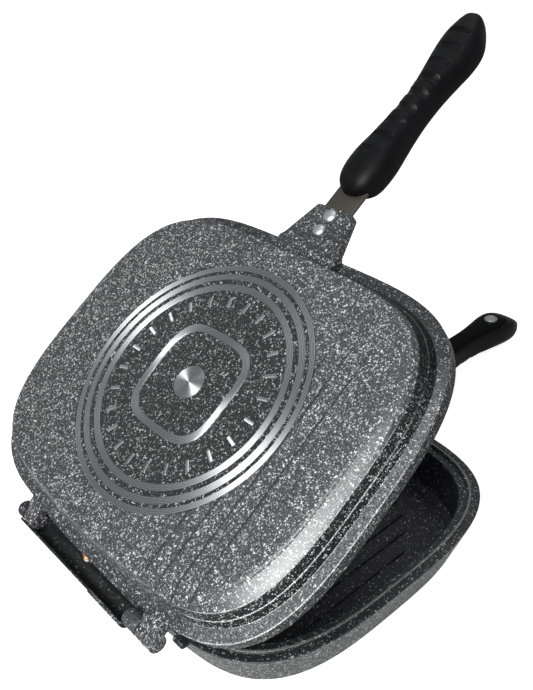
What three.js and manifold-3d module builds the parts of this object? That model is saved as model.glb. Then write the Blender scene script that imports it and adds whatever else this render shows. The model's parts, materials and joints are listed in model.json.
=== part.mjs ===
// A double sided flip pan: two die cast aluminium shells that close on each other like a book, hinged
// along one long side and held shut by magnets in their two handles. Lengths are in millimetres.
//
// Every piece is drawn in the hinge frame: X runs along the hinge axis, Y from the axis towards the
// handles and Z away from the parting plane, outwards from the lid. The lower shell is deeper, with a
// plain leaning wall, and is turned half a turn about Y. At the end both halves are set down with the base
// disc at the origin, and the lid is opened to the angle at which it stands.

import * as THREE from 'three';
import { mergeVertices } from 'three/addons/utils/BufferGeometryUtils.js';
import Module from 'manifold-3d';

const wasm = await Module();
wasm.setup();

// Driving dimensions

const panWidth = 317; // along the hinge
const panDepth = 249.5; // across it, at the rim
const widthPower = 4.9; // exponents of the rounded square that the rim follows
const depthPower = 3.1;
const hingeBow = 3; // the rim bulges this far in the middle of its hinge side
const bowReach = 80; // and this far to each side
const lidHeight = 28; // parting plane to the lid's turned rings
const baseHeight = 40; // parting plane to the lower shell's turned rings
const openAngle = THREE.MathUtils.degToRad(32.5); // lid from lower shell, as it stands
const fit = 0.3; // clearance between pieces that meet
const overrun = 1; // how far a cutter runs past what it cuts

// Casting section

const skirtHeight = 9.5; // the lid's; a flat flange joins it to the wall
const skirtEdgeRound = 0.9;
const flangeWidth = 7.5;
const wallLean = 4.5; // how far the lid's outer wall leans in
const filletDrop = 5.6; // height of the rounding between wall and floor
const filletRun = 6.2;
const handleWallLean = 6.1; // on the handle side the wall leans more and ends in a crisp edge
const handleFilletRun = 1.3;
const baseWallLean = 12; // the lower shell's wall leans in straight from its rim
const rimEdgeRound = 0.7;
const floorThickness = 3.2;
const ringProud = 0.4; // the turned rings stand this far out of the floor
const rimLand = 4; // flat rim face outside the groove
const grooveWidth = 4.4;
const grooveDepth = 4.1;
const lipWidth = 4.2; // between the groove and the cavity
const ridgeInset = 4.9;
const ridgeWidth = 2.6;
const ridgeRise = 0.9; // how far the ridge passes the parting plane
const ridgeRound = 0.6;
const ledgeDrop = 2.2; // step inside the ridge
const cavityLean = 1.6;
const cavityFilletDrop = 5;
const cavityFilletRun = 5.2;
const gasketBody = grooveDepth - 1.1; // silicone left to meet the ridge

// Grill ribs on the cavity floors

const ribPitch = 12.7;
const ribWidth = 3.2;
const ribHeight = 1.6;
const ribMargin = [28.5, 25]; // the oval on which they end, from the rim edge
const ribPower = 2.1;

// Base disc, with its rings and plain relief

const discShift = 0.5; // the disc's centre lies this far behind the shell's, towards the handle
const discRadius = 91;
const ringLandShares = [[1, 0.955], [0.925, 0.873], [0.831, 0.781]]; // outer and inner radius of each ring
const discRecess = 0.5; // how far the field inside the rings lies below the floor
const tallyCount = 24; // short radial bars round the field
const tallyShares = [0.72, 0.63];
const tallyWidth = 2.6;
const emblemWidth = 78; // rounded square outline in the middle
const emblemBand = 5;
const emblemPower = 3.6;
const bossRadius = 12;

// Hinge

const rimToAxis = 7.8; // nearest rim edge to the hinge axis
const lugRadius = 6;
const pinRadius = 2.5;
const knuckleWidth = 14; // the right one's
const leftKnuckleWidth = 7.5;
const knuckleDome = 2.5; // rounding of the left knuckle's free end
const leftLug = -72; // left end of the lid's left lug
const leftLugWidth = 13;
const rightLug = 69.5; // left end of its right lug
const rightLugWidth = 16.5;
const hingeGap = 1; // knuckle to lug, along the axis
const pinBite = 6.5; // pin length held in a knuckle
const pinStop = 2; // solid end of a lug beyond its pin
const lugSlope = 2.1; // where the lug's back leaves its barrel, behind the axis
const troughRadius = 6.3;
const troughWall = 1.5;
const troughPad = 0.8; // the outer wall is thicker by this over its right part
const troughPadStart = 18;
const nubRadius = 2.3;
const nubLength = 9;
const nubGap = 1.2;
const nubPlace = 2.9; // behind the rim's nearest edge
const nubDrop = 1.1; // its middle below the parting plane
const studHeadRadius = 3.8;
const studHeadHeight = 3.6;
const studShankRadius = 1.5;
const studShankLength = 4;
const studHeight = 3.6; // above the parting plane
const studPlace = 2; // along the hinge

// Handle tab, tang and rivets

const tabReach = 32.5; // past the rim edge
const handleShift = -1.5; // both handles stand this far along the hinge from the middle
const tabRootWidth = 59;
const tabNeckWidth = 54;
const tabNeck = 3; // where the root's flare ends, past the rim edge
const tabEndWidth = 34;
const tabCorner = 3;
const tabUnderside = 9;
const tabFace = 16.3;
const tabEmbed = 11.4; // in from the rim edge, through the wall
const tangWidth = 26;
const tangTailWidth = 18;
const tangThickness = 2.5;
const tangSeat = 11.5; // height of its inner face
const tangStart = 2.5; // past the rim edge
const tangTaper = 14;
const rivetPitch = 13;
const rivetEdge = 6.8; // outer rivet from the tab's end
const rivetRadius = 2.6;
const rivetHeadRadius = 5.4;
const rivetHeadHeight = 2.6;
const rivetTailRadius = 4;
const rivetTailHeight = 1.3;

// Grip

const gripStart = 46; // past the rim edge
const gripLength = 163.5;
const gripHalfWidth = 17;
const gripCrown = 28.5; // height of the outer face at its highest
const gripInner = 2.4; // flat inner face above the parting plane
const notchCount = 9;
const firstNotchShare = 0.196; // of the grip's length, from its start
const notchPitchShare = 0.0844;
const notchLength = 17;
const notchRadius = 4.2;
const notchDepth = 1.7;
const screwPlaceShares = [0.1835, 0.37];
const screwRadius = 2;
const screwHeadRadius = 3.7;
const screwHeadHeight = 2.2;
const screwLength = 17.5;
const insertRadius = 3.5;
const insertLength = 6;
const magnetPlaceShare = 0.7768;
const tangNarrowShare = 0.1468; // the tang steps to its tail this far into the grip, and ends at the next
const tangEndShare = 0.5627;
const magnetRadius = 4.7;
const magnetHeight = 4;
const cupWall = 0.9;
const cupFloor = 1.2;
const magnetProud = 1.7; // magnet and cup past the inner face, so that the two magnets nearly meet

// Fineness of the round forms

const outlineSteps = 64;
const ringSteps = 48;
const rodSteps = 16;
const gripSectionSteps = 16;

// A dome from its top to its edge: share of its radius, then of its height

const domeShares = [[0, 1], [0.5, 0.87], [0.87, 0.5], [1, 0]];

// Places that follow from the sizes above

const halfWidth = panWidth / 2;
const halfDepth = panDepth / 2;
const shellCentre = rimToAxis + hingeBow + halfDepth;
const rimEnd = shellCentre + halfDepth; // rim edge on the handle side
const hingeRoot = rimToAxis + hingeBow + rimLand; // hinge arms end here, short of groove and ledge
const discCentre = shellCentre + discShift;
const cavityInset = rimLand + grooveWidth + lipWidth;
const ribsEachSide = Math.floor((halfWidth - ribMargin[0] - ribWidth) / ribPitch);
const tabEnd = rimEnd + tabReach;
const gripFrom = rimEnd + gripStart;
const firstNotch = gripLength * firstNotchShare;
const notchPitch = gripLength * notchPitchShare;
const screwPlaces = screwPlaceShares.map((share) => gripLength * share);
const magnetPlace = gripLength * magnetPlaceShare;
const tangEnd = gripFrom + gripLength * tangEndShare;

// Materials

const castGrey = new THREE.MeshStandardMaterial({ color: 0x5b5f60, roughness: 0.55, metalness: 0.2 });
const silicone = new THREE.MeshStandardMaterial({ color: 0x3c3f41, roughness: 0.8, metalness: 0 });
const pinSteel = new THREE.MeshStandardMaterial({ color: 0xa9abad, roughness: 0.35, metalness: 0.9 });
const tangSteel = new THREE.MeshStandardMaterial({ color: 0x5a524d, roughness: 0.45, metalness: 0.7 });
const rivetMetal = new THREE.MeshStandardMaterial({ color: 0xc9cbcb, roughness: 0.35, metalness: 0.9 });
const gripBlack = new THREE.MeshStandardMaterial({ color: 0x17171a, roughness: 0.5, metalness: 0 });
const screwSteel = new THREE.MeshStandardMaterial({ color: 0xb2b4b6, roughness: 0.4, metalness: 0.9 });
const brass = new THREE.MeshStandardMaterial({ color: 0xb08d45, roughness: 0.4, metalness: 0.9 });
const magnetGrey = new THREE.MeshStandardMaterial({ color: 0xb8bbbd, roughness: 0.4, metalness: 0.8 });
const polished = new THREE.MeshStandardMaterial({ color: 0xd9d4cc, roughness: 0.15, metalness: 1 });

// Solids and booleans

function solidOf(geometry) {
  const bare = geometry.clone();
  bare.deleteAttribute('normal');
  bare.deleteAttribute('uv');
  const merged = mergeVertices(bare);
  const vertProperties = new Float32Array(merged.attributes.position.array);
  const triVerts = new Uint32Array(merged.index.array);
  return new wasm.Manifold(new wasm.Mesh({ numProp: 3, vertProperties, triVerts }));
}

function join(...solids) {
  return solids.reduce((whole, next) => whole.add(next));
}

function cut(body, ...tools) {
  return tools.reduce((left, tool) => left.subtract(tool), body);
}

function geometryOf(solid) {
  const { vertProperties, triVerts, numProp } = solid.getMesh();
  const points = [];
  for (let i = 0; i < vertProperties.length; i += numProp) {
    points.push(vertProperties[i], vertProperties[i + 1], vertProperties[i + 2]);
  }
  const geometry = new THREE.BufferGeometry();
  geometry.setAttribute('position', new THREE.Float32BufferAttribute(points, 3));
  geometry.setIndex(Array.from(triVerts));
  return geometry;
}

function piece(name, solid, material) {
  const geometry = geometryOf(solid).toNonIndexed();
  geometry.computeVertexNormals();
  const mesh = new THREE.Mesh(geometry, material);
  mesh.name = name;
  return mesh;
}

// A prism on an outline of [y, z] points, between two places along the hinge
function alongX(outline, from, to) {
  const shape = new THREE.Shape(outline.map(([y, z]) => new THREE.Vector2(y, z)));
  const geometry = new THREE.ExtrudeGeometry(shape, { depth: to - from, bevelEnabled: false });
  const turn = new THREE.Matrix4();
  turn.makeBasis(new THREE.Vector3(0, 1, 0), new THREE.Vector3(0, 0, 1), new THREE.Vector3(1, 0, 0));
  geometry.applyMatrix4(turn);
  geometry.translate(from, 0, 0);
  return solidOf(geometry);
}

// A prism on an outline in plan, between two heights
function alongZ(outline, from, to) {
  const shape = outline instanceof THREE.Shape
    ? outline
    : new THREE.Shape(outline.map(([x, y]) => new THREE.Vector2(x, y)));
  const options = { depth: to - from, bevelEnabled: false, curveSegments: 4 };
  const geometry = new THREE.ExtrudeGeometry(shape, options);
  geometry.translate(0, 0, from);
  return solidOf(geometry);
}

function rodX(radius, from, to, y = 0, z = 0, steps = rodSteps) {
  const geometry = new THREE.CylinderGeometry(radius, radius, to - from, steps);
  geometry.rotateZ(-Math.PI / 2);
  geometry.translate((from + to) / 2, y, z);
  return solidOf(geometry);
}

function rodZ(radius, x, y, from, to, steps = rodSteps) {
  const geometry = new THREE.CylinderGeometry(radius, radius, to - from, steps);
  geometry.rotateX(Math.PI / 2);
  geometry.translate(x, y, (from + to) / 2);
  return solidOf(geometry);
}

// A turned solid on the Z axis from [radius, height] points that close on themselves or on the axis
function turned(profile, steps = rodSteps) {
  const geometry = new THREE.LatheGeometry(profile.map(([r, h]) => new THREE.Vector2(r, h)), steps);
  geometry.rotateX(Math.PI / 2);
  return solidOf(geometry);
}

// The rounded square that the rim follows, in plan, moved in by an inset. The handle side may have its own.
function outlinePoint(inset, step, handleInset = inset) {
  const angle = (step / outlineSteps) * 2 * Math.PI;
  const c = Math.cos(angle);
  const s = Math.sin(angle);
  const x = (halfWidth - inset) * Math.sign(c) * Math.abs(c) ** (2 / widthPower);
  const y = (halfDepth - (s < 0 ? inset : handleInset)) * Math.sign(s) * Math.abs(s) ** (2 / depthPower);
  const bow = s < 0 ? hingeBow * Math.max(0, 1 - (x / bowReach) ** 2) ** 2 : 0;
  return [x, shellCentre + y - bow];
}

// Carries a section of [inset, height] points round the rim. A third number is the inset on the handle
// side, where that differs. An open section starts and ends in the middle of the shell, at the heights
// given as its caps.
function roundTheRim(section, caps) {
  const points = [];
  const faces = [];
  for (const [inset, height, handleInset] of section) {
    for (let step = 0; step < outlineSteps; step += 1) {
      points.push(...outlinePoint(inset, step, handleInset), height);
    }
  }
  const at = (row, step) => (row % section.length) * outlineSteps + (step % outlineSteps);
  const rows = caps ? section.length - 1 : section.length;
  for (let row = 0; row < rows; row += 1) {
    for (let step = 0; step < outlineSteps; step += 1) {
      faces.push(at(row, step), at(row + 1, step), at(row + 1, step + 1));
      faces.push(at(row, step), at(row + 1, step + 1), at(row, step + 1));
    }
  }
  if (caps) {
    const first = points.length / 3;
    points.push(0, shellCentre, caps[0], 0, shellCentre, caps[1]);
    for (let step = 0; step < outlineSteps; step += 1) {
      faces.push(first, at(0, step), at(0, step + 1));
      faces.push(first + 1, at(section.length - 1, step + 1), at(section.length - 1, step));
    }
  }
  const geometry = new THREE.BufferGeometry();
  geometry.setAttribute('position', new THREE.Float32BufferAttribute(points, 3));
  geometry.setIndex(faces);
  return solidOf(geometry);
}

// A quarter round from one point of a section to another, bulging away from the corner's inside
function quarter(from, to, wallFirst, steps = 3) {
  const points = [];
  for (let i = 1; i < steps; i += 1) {
    const turn = (i / steps) * (Math.PI / 2);
    const run = wallFirst ? 1 - Math.cos(turn) : Math.sin(turn);
    const rise = wallFirst ? Math.sin(turn) : 1 - Math.cos(turn);
    points.push(from.map((value, k) => value + (to[k] - value) * (k === 1 ? rise : run)));
  }
  return points;
}

// Shells

// Cavity side of a section, from the rim's inner edge to the cavity floor
function cavitySection(cavityHeight) {
  const wallTop = [cavityInset + cavityLean, cavityHeight - cavityFilletDrop];
  const floor = [cavityInset + cavityLean + cavityFilletRun, cavityHeight];
  return [wallTop, ...quarter(wallTop, floor, true), floor];
}

function lidSection() {
  const floorHeight = lidHeight - ringProud;
  const wall = flangeWidth + wallLean;
  const handleWall = flangeWidth + handleWallLean;
  const floorEdge = [wall + filletRun, floorHeight, handleWall + handleFilletRun];
  const wallTop = [wall, floorHeight - filletDrop, handleWall];
  return [
    floorEdge,
    ...quarter(floorEdge, wallTop, false),
    wallTop,
    [flangeWidth, skirtHeight],
    [skirtEdgeRound, skirtHeight],
    [0, skirtHeight - skirtEdgeRound],
    [0, fit],
    ...grooveRim,
    ...cavitySection(floorHeight - floorThickness),
  ];
}

function baseSection() {
  const floorHeight = baseHeight - ringProud;
  const floorEdge = [baseWallLean + filletRun, floorHeight];
  const wallTop = [baseWallLean, floorHeight - filletDrop];
  return [
    floorEdge,
    ...quarter(floorEdge, wallTop, false),
    wallTop,
    [0, fit + rimEdgeRound],
    [rimEdgeRound, fit],
    ...ridgeRim,
    ...cavitySection(floorHeight - floorThickness),
  ];
}

// The lid's rim: a flat land, the gasket's groove and a thin lip round the cavity
const grooveRim = [
  [rimLand, fit],
  [rimLand, fit + grooveDepth],
  [rimLand + grooveWidth, fit + grooveDepth],
  [rimLand + grooveWidth, fit],
  [cavityInset, fit],
];

// The lower rim: the same land, a raised ridge that presses on the gasket, and a ledge inside it
const ridgeRim = [
  [ridgeInset, fit],
  [ridgeInset + ridgeRound, -ridgeRise],
  [ridgeInset + ridgeWidth - ridgeRound, -ridgeRise],
  [ridgeInset + ridgeWidth, fit],
  [ridgeInset + ridgeWidth, ledgeDrop],
  [cavityInset, ledgeDrop],
];

// Half the length of a rib at a distance from the middle, inside the oval on which the ribs end
function ribReach(x) {
  const a = halfWidth - ribMargin[0];
  const b = halfDepth - ribMargin[1];
  return b * (1 - (Math.abs(x) / a) ** ribPower) ** (1 / ribPower);
}

function grillRibs(cavityHeight) {
  const ribs = [];
  for (let i = -ribsEachSide; i <= ribsEachSide; i += 1) {
    const x = i * ribPitch;
    const reach = ribReach(Math.abs(x) + ribWidth / 2);
    const corners = [
      [x - ribWidth / 2, shellCentre - reach],
      [x + ribWidth / 2, shellCentre - reach],
      [x + ribWidth / 2, shellCentre + reach],
      [x - ribWidth / 2, shellCentre + reach],
    ];
    ribs.push(alongZ(corners, cavityHeight - ribHeight, cavityHeight + overrun));
  }
  return join(...ribs);
}

function annulus(outer, inner, from, to) {
  const corners = [[inner, from], [outer, from], [outer, to], [inner, to], [inner, from]];
  return turned(corners, ringSteps).translate([0, discCentre, 0]);
}

// The turned rings, the field sunk inside them and the plain relief in the field
function baseRings(height) {
  const under = height - ringProud - overrun;
  return join(...ringLandShares.map(([outer, inner]) => (
    annulus(discRadius * outer, discRadius * inner, under, height)
  )));
}

function baseField(height) {
  const innermost = discRadius * ringLandShares.at(-1).at(-1);
  return rodZ(innermost, 0, discCentre, height - ringProud - discRecess, height + overrun, ringSteps);
}

// Outline of the emblem's rounded square, of a given half width
function emblemOutline(half) {
  const points = [];
  const steps = ringSteps / 2;
  for (let i = 0; i < steps; i += 1) {
    const angle = (i / steps) * 2 * Math.PI;
    const reach = Math.abs(Math.cos(angle)) ** emblemPower + Math.abs(Math.sin(angle)) ** emblemPower;
    const radius = half * reach ** (-1 / emblemPower);
    points.push([radius * Math.cos(angle), discCentre + radius * Math.sin(angle)]);
  }
  return points;
}

function baseRelief(height) {
  const under = height - ringProud - discRecess - overrun;
  const solids = [rodZ(bossRadius, 0, discCentre, under, height)];
  const [outer, inner] = tallyShares.map((share) => share * discRadius);
  for (let i = 0; i < tallyCount; i += 1) {
    const bar = alongZ([
      [inner, -tallyWidth / 2],
      [outer, -tallyWidth / 2],
      [outer, tallyWidth / 2],
      [inner, tallyWidth / 2],
    ], under, height);
    solids.push(bar.rotate([0, 0, (i * 360) / tallyCount]).translate([0, discCentre, 0]));
  }
  const emblem = alongZ(emblemOutline(emblemWidth / 2), under, height);
  const inside = alongZ(emblemOutline(emblemWidth / 2 - emblemBand), under - overrun, height + overrun);
  solids.push(cut(emblem, inside));
  return join(...solids);
}

// The cast tab that the tang is riveted in
function tabOutline() {
  const root = rimEnd - tabEmbed;
  const shape = new THREE.Shape();
  shape.moveTo(-tabRootWidth / 2, root);
  shape.lineTo(tabRootWidth / 2, root);
  shape.lineTo(tabRootWidth / 2, rimEnd);
  shape.lineTo(tabNeckWidth / 2, rimEnd + tabNeck);
  shape.lineTo(tabEndWidth / 2, tabEnd - tabCorner);
  shape.quadraticCurveTo(tabEndWidth / 2, tabEnd, tabEndWidth / 2 - tabCorner, tabEnd);
  shape.lineTo(tabCorner - tabEndWidth / 2, tabEnd);
  shape.quadraticCurveTo(-tabEndWidth / 2, tabEnd, -tabEndWidth / 2, tabEnd - tabCorner);
  shape.lineTo(-tabNeckWidth / 2, rimEnd + tabNeck);
  shape.lineTo(-tabRootWidth / 2, rimEnd);
  return shape;
}

const rivetPlaces = [tabEnd - rivetEdge - rivetPitch, tabEnd - rivetEdge];

// A casting with the given section: the shell, its base disc, its ribs and its handle tab
function castShell(section, height, tabShift) {
  const floorHeight = height - ringProud;
  const cavityHeight = floorHeight - floorThickness;
  const body = roundTheRim(section, [floorHeight, cavityHeight]);
  const tab = alongZ(tabOutline(), tabUnderside, tabFace);
  const slot = alongZ([
    [-tangWidth / 2 - fit, rimEnd + tangStart - fit],
    [tangWidth / 2 + fit, rimEnd + tangStart - fit],
    [tangWidth / 2 + fit, tabEnd + overrun],
    [-tangWidth / 2 - fit, tabEnd + overrun],
  ], tangSeat - fit, tangSeat + tangThickness + fit);
  const bores = rivetPlaces.map((y) => (
    rodZ(rivetRadius + fit, 0, y, tabUnderside - overrun, tabFace + overrun)
  ));
  const ringed = cut(join(body, baseRings(height)), baseField(height));
  const bored = cut(tab, slot, ...bores).translate([tabShift, 0, 0]);
  const tools = [slot, ...bores].map((tool) => tool.translate([tabShift, 0, 0]));
  return cut(join(ringed, baseRelief(height), grillRibs(cavityHeight), bored), ...tools);
}

// The lid's hinge lugs: a barrel round the pin on an arm out of the skirt
function lidLug(from, width) {
  const to = from + width;
  const arm = [
    [0, fit],
    [hingeRoot, fit],
    [hingeRoot, skirtHeight],
    [rimToAxis + skirtEdgeRound, skirtHeight],
    [lugSlope, Math.sqrt(lugRadius ** 2 - lugSlope ** 2)],
    [0, lugRadius * Math.cos(Math.PI / rodSteps)],
  ];
  return join(alongX(arm, from, to), rodX(lugRadius, from, to));
}

// The lower shell's hinge knuckles, each just to the left of the lug that turns on its pin
function baseKnuckle(lugFrom, width) {
  const to = lugFrom - hingeGap;
  const from = to - width;
  const root = hingeRoot + rimLand;
  const arm = [[0, -lugRadius], [root, -lugRadius], [root, -fit], [0, -fit]];
  return join(alongX(arm, from, to), rodX(lugRadius, from, to));
}

// Rounded free end of the left knuckle
function knuckleEnd() {
  const from = leftLug - hingeGap - leftKnuckleWidth;
  const dome = domeShares.map(([r, h]) => [lugRadius * r, knuckleDome * h]);
  const profile = [...dome, [lugRadius, -overrun], [0, -overrun]].reverse();
  return turned(profile).rotate([0, -90, 0]).translate([from, 0, 0]);
}

function hingePin(lugFrom, lugWidth) {
  return rodX(pinRadius, lugFrom - hingeGap - pinBite, lugFrom + lugWidth - pinStop);
}

function pinBore(lugFrom, lugWidth) {
  return rodX(pinRadius + fit, lugFrom - hingeGap - pinBite - fit, lugFrom + lugWidth - pinStop + fit);
}

// A half round trough on the hinge axis, which catches what runs out when the pan is turned over
function dripTrough() {
  const from = leftLug - hingeGap - overrun;
  const end = rightLug - hingeGap - knuckleWidth;
  const outer = troughRadius + troughWall;
  const web = [
    [0, -outer],
    [hingeRoot + rimLand, -outer],
    [hingeRoot + rimLand, -ledgeDrop - fit],
    [hingeRoot, -ledgeDrop - fit],
    [hingeRoot, -fit],
    [0, -fit],
  ];
  const shell = rodX(outer, from, end + overrun, 0, 0, 2 * rodSteps).trimByPlane([0, 0, -1], fit);
  const pad = rodX(outer + troughPad, troughPadStart, end + overrun, 0, 0, 2 * rodSteps)
    .trimByPlane([0, 0, -1], fit);
  const body = join(shell, pad, alongX(web, from, end + overrun));
  return cut(body, rodX(troughRadius, leftLug - hingeGap, end, 0, 0, 2 * rodSteps));
}

// A nub beside the right lug keeps the lid from sliding off its pins
function retainingNub() {
  const from = rightLug + rightLugWidth + nubGap;
  const to = from + nubLength;
  const place = rimToAxis + nubPlace;
  const low = -nubDrop - nubRadius;
  const arm = [[place, low], [hingeRoot + rimLand, low], [hingeRoot + rimLand, -fit], [place, -fit]];
  return join(rodX(nubRadius, from, to, place, -nubDrop), alongX(arm, from, to));
}

const lugs = [[leftLug, leftLugWidth], [rightLug, rightLugWidth]];

function upperShell() {
  const stud = rodZ(studShankRadius + fit, 0, 0, 0, studShankLength + fit + overrun)
    .rotate([-90, 0, 0]).translate([studPlace, rimToAxis - overrun, studHeight]);
  const casting = castShell(lidSection(), lidHeight, handleShift);
  const barrels = lugs.map(([from, width]) => lidLug(from, width));
  const bores = lugs.map(([from, width]) => pinBore(from, width));
  return cut(join(casting, ...barrels), ...bores, stud);
}

function lowerShell() {
  const turnedOver = castShell(baseSection(), baseHeight, -handleShift).rotate([0, 180, 0]);
  const leftKnuckle = join(baseKnuckle(leftLug, leftKnuckleWidth), knuckleEnd());
  const knuckles = join(leftKnuckle, baseKnuckle(rightLug, knuckleWidth));
  const clearance = rodX(lugRadius + fit, leftLug - hingeGap, leftLug + leftLugWidth + hingeGap);
  const body = cut(join(turnedOver, dripTrough(), knuckles, retainingNub()), clearance);
  return cut(body, ...lugs.map(([from, width]) => pinBore(from, width)));
}

function rimGasket() {
  const outer = rimLand + fit;
  const inner = rimLand + grooveWidth - fit;
  const seat = grooveDepth;
  const face = fit + grooveDepth - gasketBody;
  return roundTheRim([[outer, seat], [outer, face], [inner, face], [inner, seat]]);
}

function hingeStud() {
  const dome = domeShares.map(([r, h]) => [studHeadRadius * r, studHeadHeight * h]);
  const root = -fit - studShankLength;
  const profile = [...dome, [studShankRadius, 0], [studShankRadius, root], [0, root]].reverse();
  return turned(profile).rotate([90, 0, 0]).translate([studPlace, rimToAxis - fit, studHeight]);
}

// Handle pieces

function tang() {
  return tangOutline(rimEnd + tangStart, gripFrom + gripLength * tangNarrowShare, 0);
}

function tangOutline(start, narrow, grow) {
  const wide = tangWidth / 2 + grow;
  const tail = tangTailWidth / 2 + grow;
  const end = tangEnd + grow;
  return [
    [-wide, start],
    [wide, start],
    [wide, narrow],
    [tail, narrow + tangTaper],
    [tail, end],
    [-tail, end],
    [-tail, narrow + tangTaper],
    [-wide, narrow],
  ];
}

function tangPlate() {
  const plate = alongZ(tang(), tangSeat, tangSeat + tangThickness);
  const rivetBores = rivetPlaces.map((y) => rodZ(rivetRadius + fit, 0, y, tangSeat - overrun, tabFace));
  const screwBores = screwPlaces.map((along) => (
    rodZ(screwRadius + fit, 0, gripFrom + along, tangSeat - overrun, tabFace)
  ));
  return cut(plate, ...rivetBores, ...screwBores);
}

function rivet(y) {
  const headFrom = tabFace + fit;
  const tailTo = tabUnderside - fit;
  const dome = [0, 1, 2].map((i) => {
    const turn = (i / 3) * (Math.PI / 2);
    return [rivetHeadRadius * Math.cos(turn), headFrom + rivetHeadHeight * Math.sin(turn)];
  });
  const profile = [
    [0, tailTo - rivetTailHeight],
    [rivetTailRadius, tailTo - rivetTailHeight],
    [rivetTailRadius, tailTo],
    [rivetRadius, tailTo],
    [rivetRadius, headFrom],
    ...dome,
    [0, headFrom + rivetHeadHeight],
  ];
  return turned(profile).translate([0, y, 0]);
}

// Stations along the grip: share of its length, then half width, crown and inner face. Width is a share
// of gripHalfWidth, crown and inner face are shares of gripCrown.
const gripStationShares = [
  [0.008, 0.36, 0.66, 0.32],
  [0.025, 0.62, 0.78, 0.19],
  [0.05, 0.82, 0.87, 0.09],
  [0.085, 0.94, 0.93, 0.02],
  [0.14, 1, 0.96, 0],
  [0.21, 0.98, 0.95, 0],
  [0.28, 0.87, 0.92, 0],
  [0.36, 0.75, 0.91, 0],
  [0.45, 0.66, 0.90, 0],
  [0.54, 0.65, 0.90, 0],
  [0.62, 0.71, 0.91, 0],
  [0.70, 0.83, 0.94, 0],
  [0.77, 0.94, 0.96, 0],
  [0.83, 0.97, 0.99, 0.02],
  [0.88, 0.93, 1, 0.09],
  [0.925, 0.77, 1, 0.21],
  [0.96, 0.59, 0.99, 0.36],
  [0.985, 0.37, 0.94, 0.51],
];
const gripEndShares = [[0, 0.48], [1, 0.75]]; // where the two rounded ends close, and their height
const gripMiddleShare = 0.42; // height at which a section is widest, between inner face and crown
const sidePower = 0.7; // roundness of a section: its sides, its crown and its inner corners
const crownPower = 0.85;
const innerPower = 0.45;

function gripHeights(crownShare, innerShare) {
  const crown = gripCrown * crownShare;
  const inner = gripInner + gripCrown * innerShare;
  return [crown, inner];
}

// One cross section: a flat inner side with rounded corners and a domed outer side
function gripSection([along, widthShare, crownShare, innerShare]) {
  const y = gripFrom + gripLength * along;
  const half = gripHalfWidth * widthShare;
  const [crown, inner] = gripHeights(crownShare, innerShare);
  const middle = inner + (crown - inner) * gripMiddleShare;
  const points = [];
  for (let i = 0; i < gripSectionSteps; i += 1) {
    const turn = (i / gripSectionSteps) * 2 * Math.PI;
    const c = Math.cos(turn);
    const s = Math.sin(turn);
    const x = half * Math.sign(c) * Math.abs(c) ** sidePower;
    const z = s >= 0
      ? middle + (crown - middle) * s ** crownPower
      : middle - (middle - inner) * Math.abs(s) ** innerPower;
    points.push([x, y, z]);
  }
  return points;
}

function gripBody() {
  const points = [];
  const faces = [];
  gripStationShares.forEach((station) => gripSection(station).forEach((point) => points.push(...point)));
  const rows = gripStationShares.length;
  const at = (row, step) => row * gripSectionSteps + (step % gripSectionSteps);
  for (let row = 0; row < rows - 1; row += 1) {
    for (let step = 0; step < gripSectionSteps; step += 1) {
      faces.push(at(row, step), at(row + 1, step), at(row + 1, step + 1));
      faces.push(at(row, step), at(row + 1, step + 1), at(row, step + 1));
    }
  }
  const first = points.length / 3;
  for (const [along, height] of gripEndShares) {
    points.push(0, gripFrom + gripLength * along, gripCrown * height);
  }
  for (let step = 0; step < gripSectionSteps; step += 1) {
    faces.push(first, at(0, step), at(0, step + 1));
    faces.push(first + 1, at(rows - 1, step + 1), at(rows - 1, step));
  }
  const geometry = new THREE.BufferGeometry();
  geometry.setAttribute('position', new THREE.Float32BufferAttribute(points, 3));
  geometry.setIndex(faces);
  return solidOf(geometry);
}

// Height of the crown at a place along the grip, between its stations
function crownAt(along) {
  const share = along / gripLength;
  const next = gripStationShares.findIndex(([at]) => at >= share);
  const [a, , low] = gripStationShares[next - 1];
  const [b, , high] = gripStationShares[next];
  return gripCrown * (low + ((high - low) * (share - a)) / (b - a));
}

function gripNotches() {
  const notches = [];
  for (let i = 0; i < notchCount; i += 1) {
    const along = firstNotch + i * notchPitch;
    const height = crownAt(along) + notchRadius - notchDepth;
    notches.push(rodX(notchRadius, -notchLength / 2, notchLength / 2, gripFrom + along, height));
  }
  return notches;
}

const screwTop = gripInner + screwLength;
const headTop = gripInner + screwHeadHeight;
const insertFrom = tangSeat + tangThickness + 2 * fit;
const cupHeight = magnetHeight + fit + cupFloor;
const cupRadius = magnetRadius + fit + cupWall;
const magnetFace = gripInner - magnetProud;

function grip() {
  const start = gripFrom - overrun;
  const slot = tangOutline(start, gripFrom + gripLength * tangNarrowShare, fit);
  const tools = [alongZ(slot, tangSeat - fit, tangSeat + tangThickness + fit), ...gripNotches()];
  for (const along of screwPlaces) {
    const y = gripFrom + along;
    tools.push(rodZ(screwHeadRadius + fit, 0, y, gripInner - overrun, headTop + fit));
    tools.push(rodZ(screwRadius + fit, 0, y, gripInner, tangSeat));
    tools.push(rodZ(insertRadius + fit, 0, y, tangSeat + tangThickness, insertFrom + insertLength + fit));
  }
  const cupTop = magnetFace + cupHeight + fit;
  tools.push(rodZ(cupRadius + fit, 0, gripFrom + magnetPlace, gripInner - overrun, cupTop));
  return cut(gripBody(), ...tools);
}

function gripScrew(along) {
  const y = gripFrom + along;
  const head = rodZ(screwHeadRadius, 0, y, gripInner, headTop);
  return join(head, rodZ(screwRadius, 0, y, headTop - overrun, screwTop));
}

function gripInsert(along) {
  const y = gripFrom + along;
  const body = rodZ(insertRadius, 0, y, insertFrom, insertFrom + insertLength);
  return cut(body, rodZ(screwRadius + fit, 0, y, insertFrom - overrun, insertFrom + insertLength + overrun));
}

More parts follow.
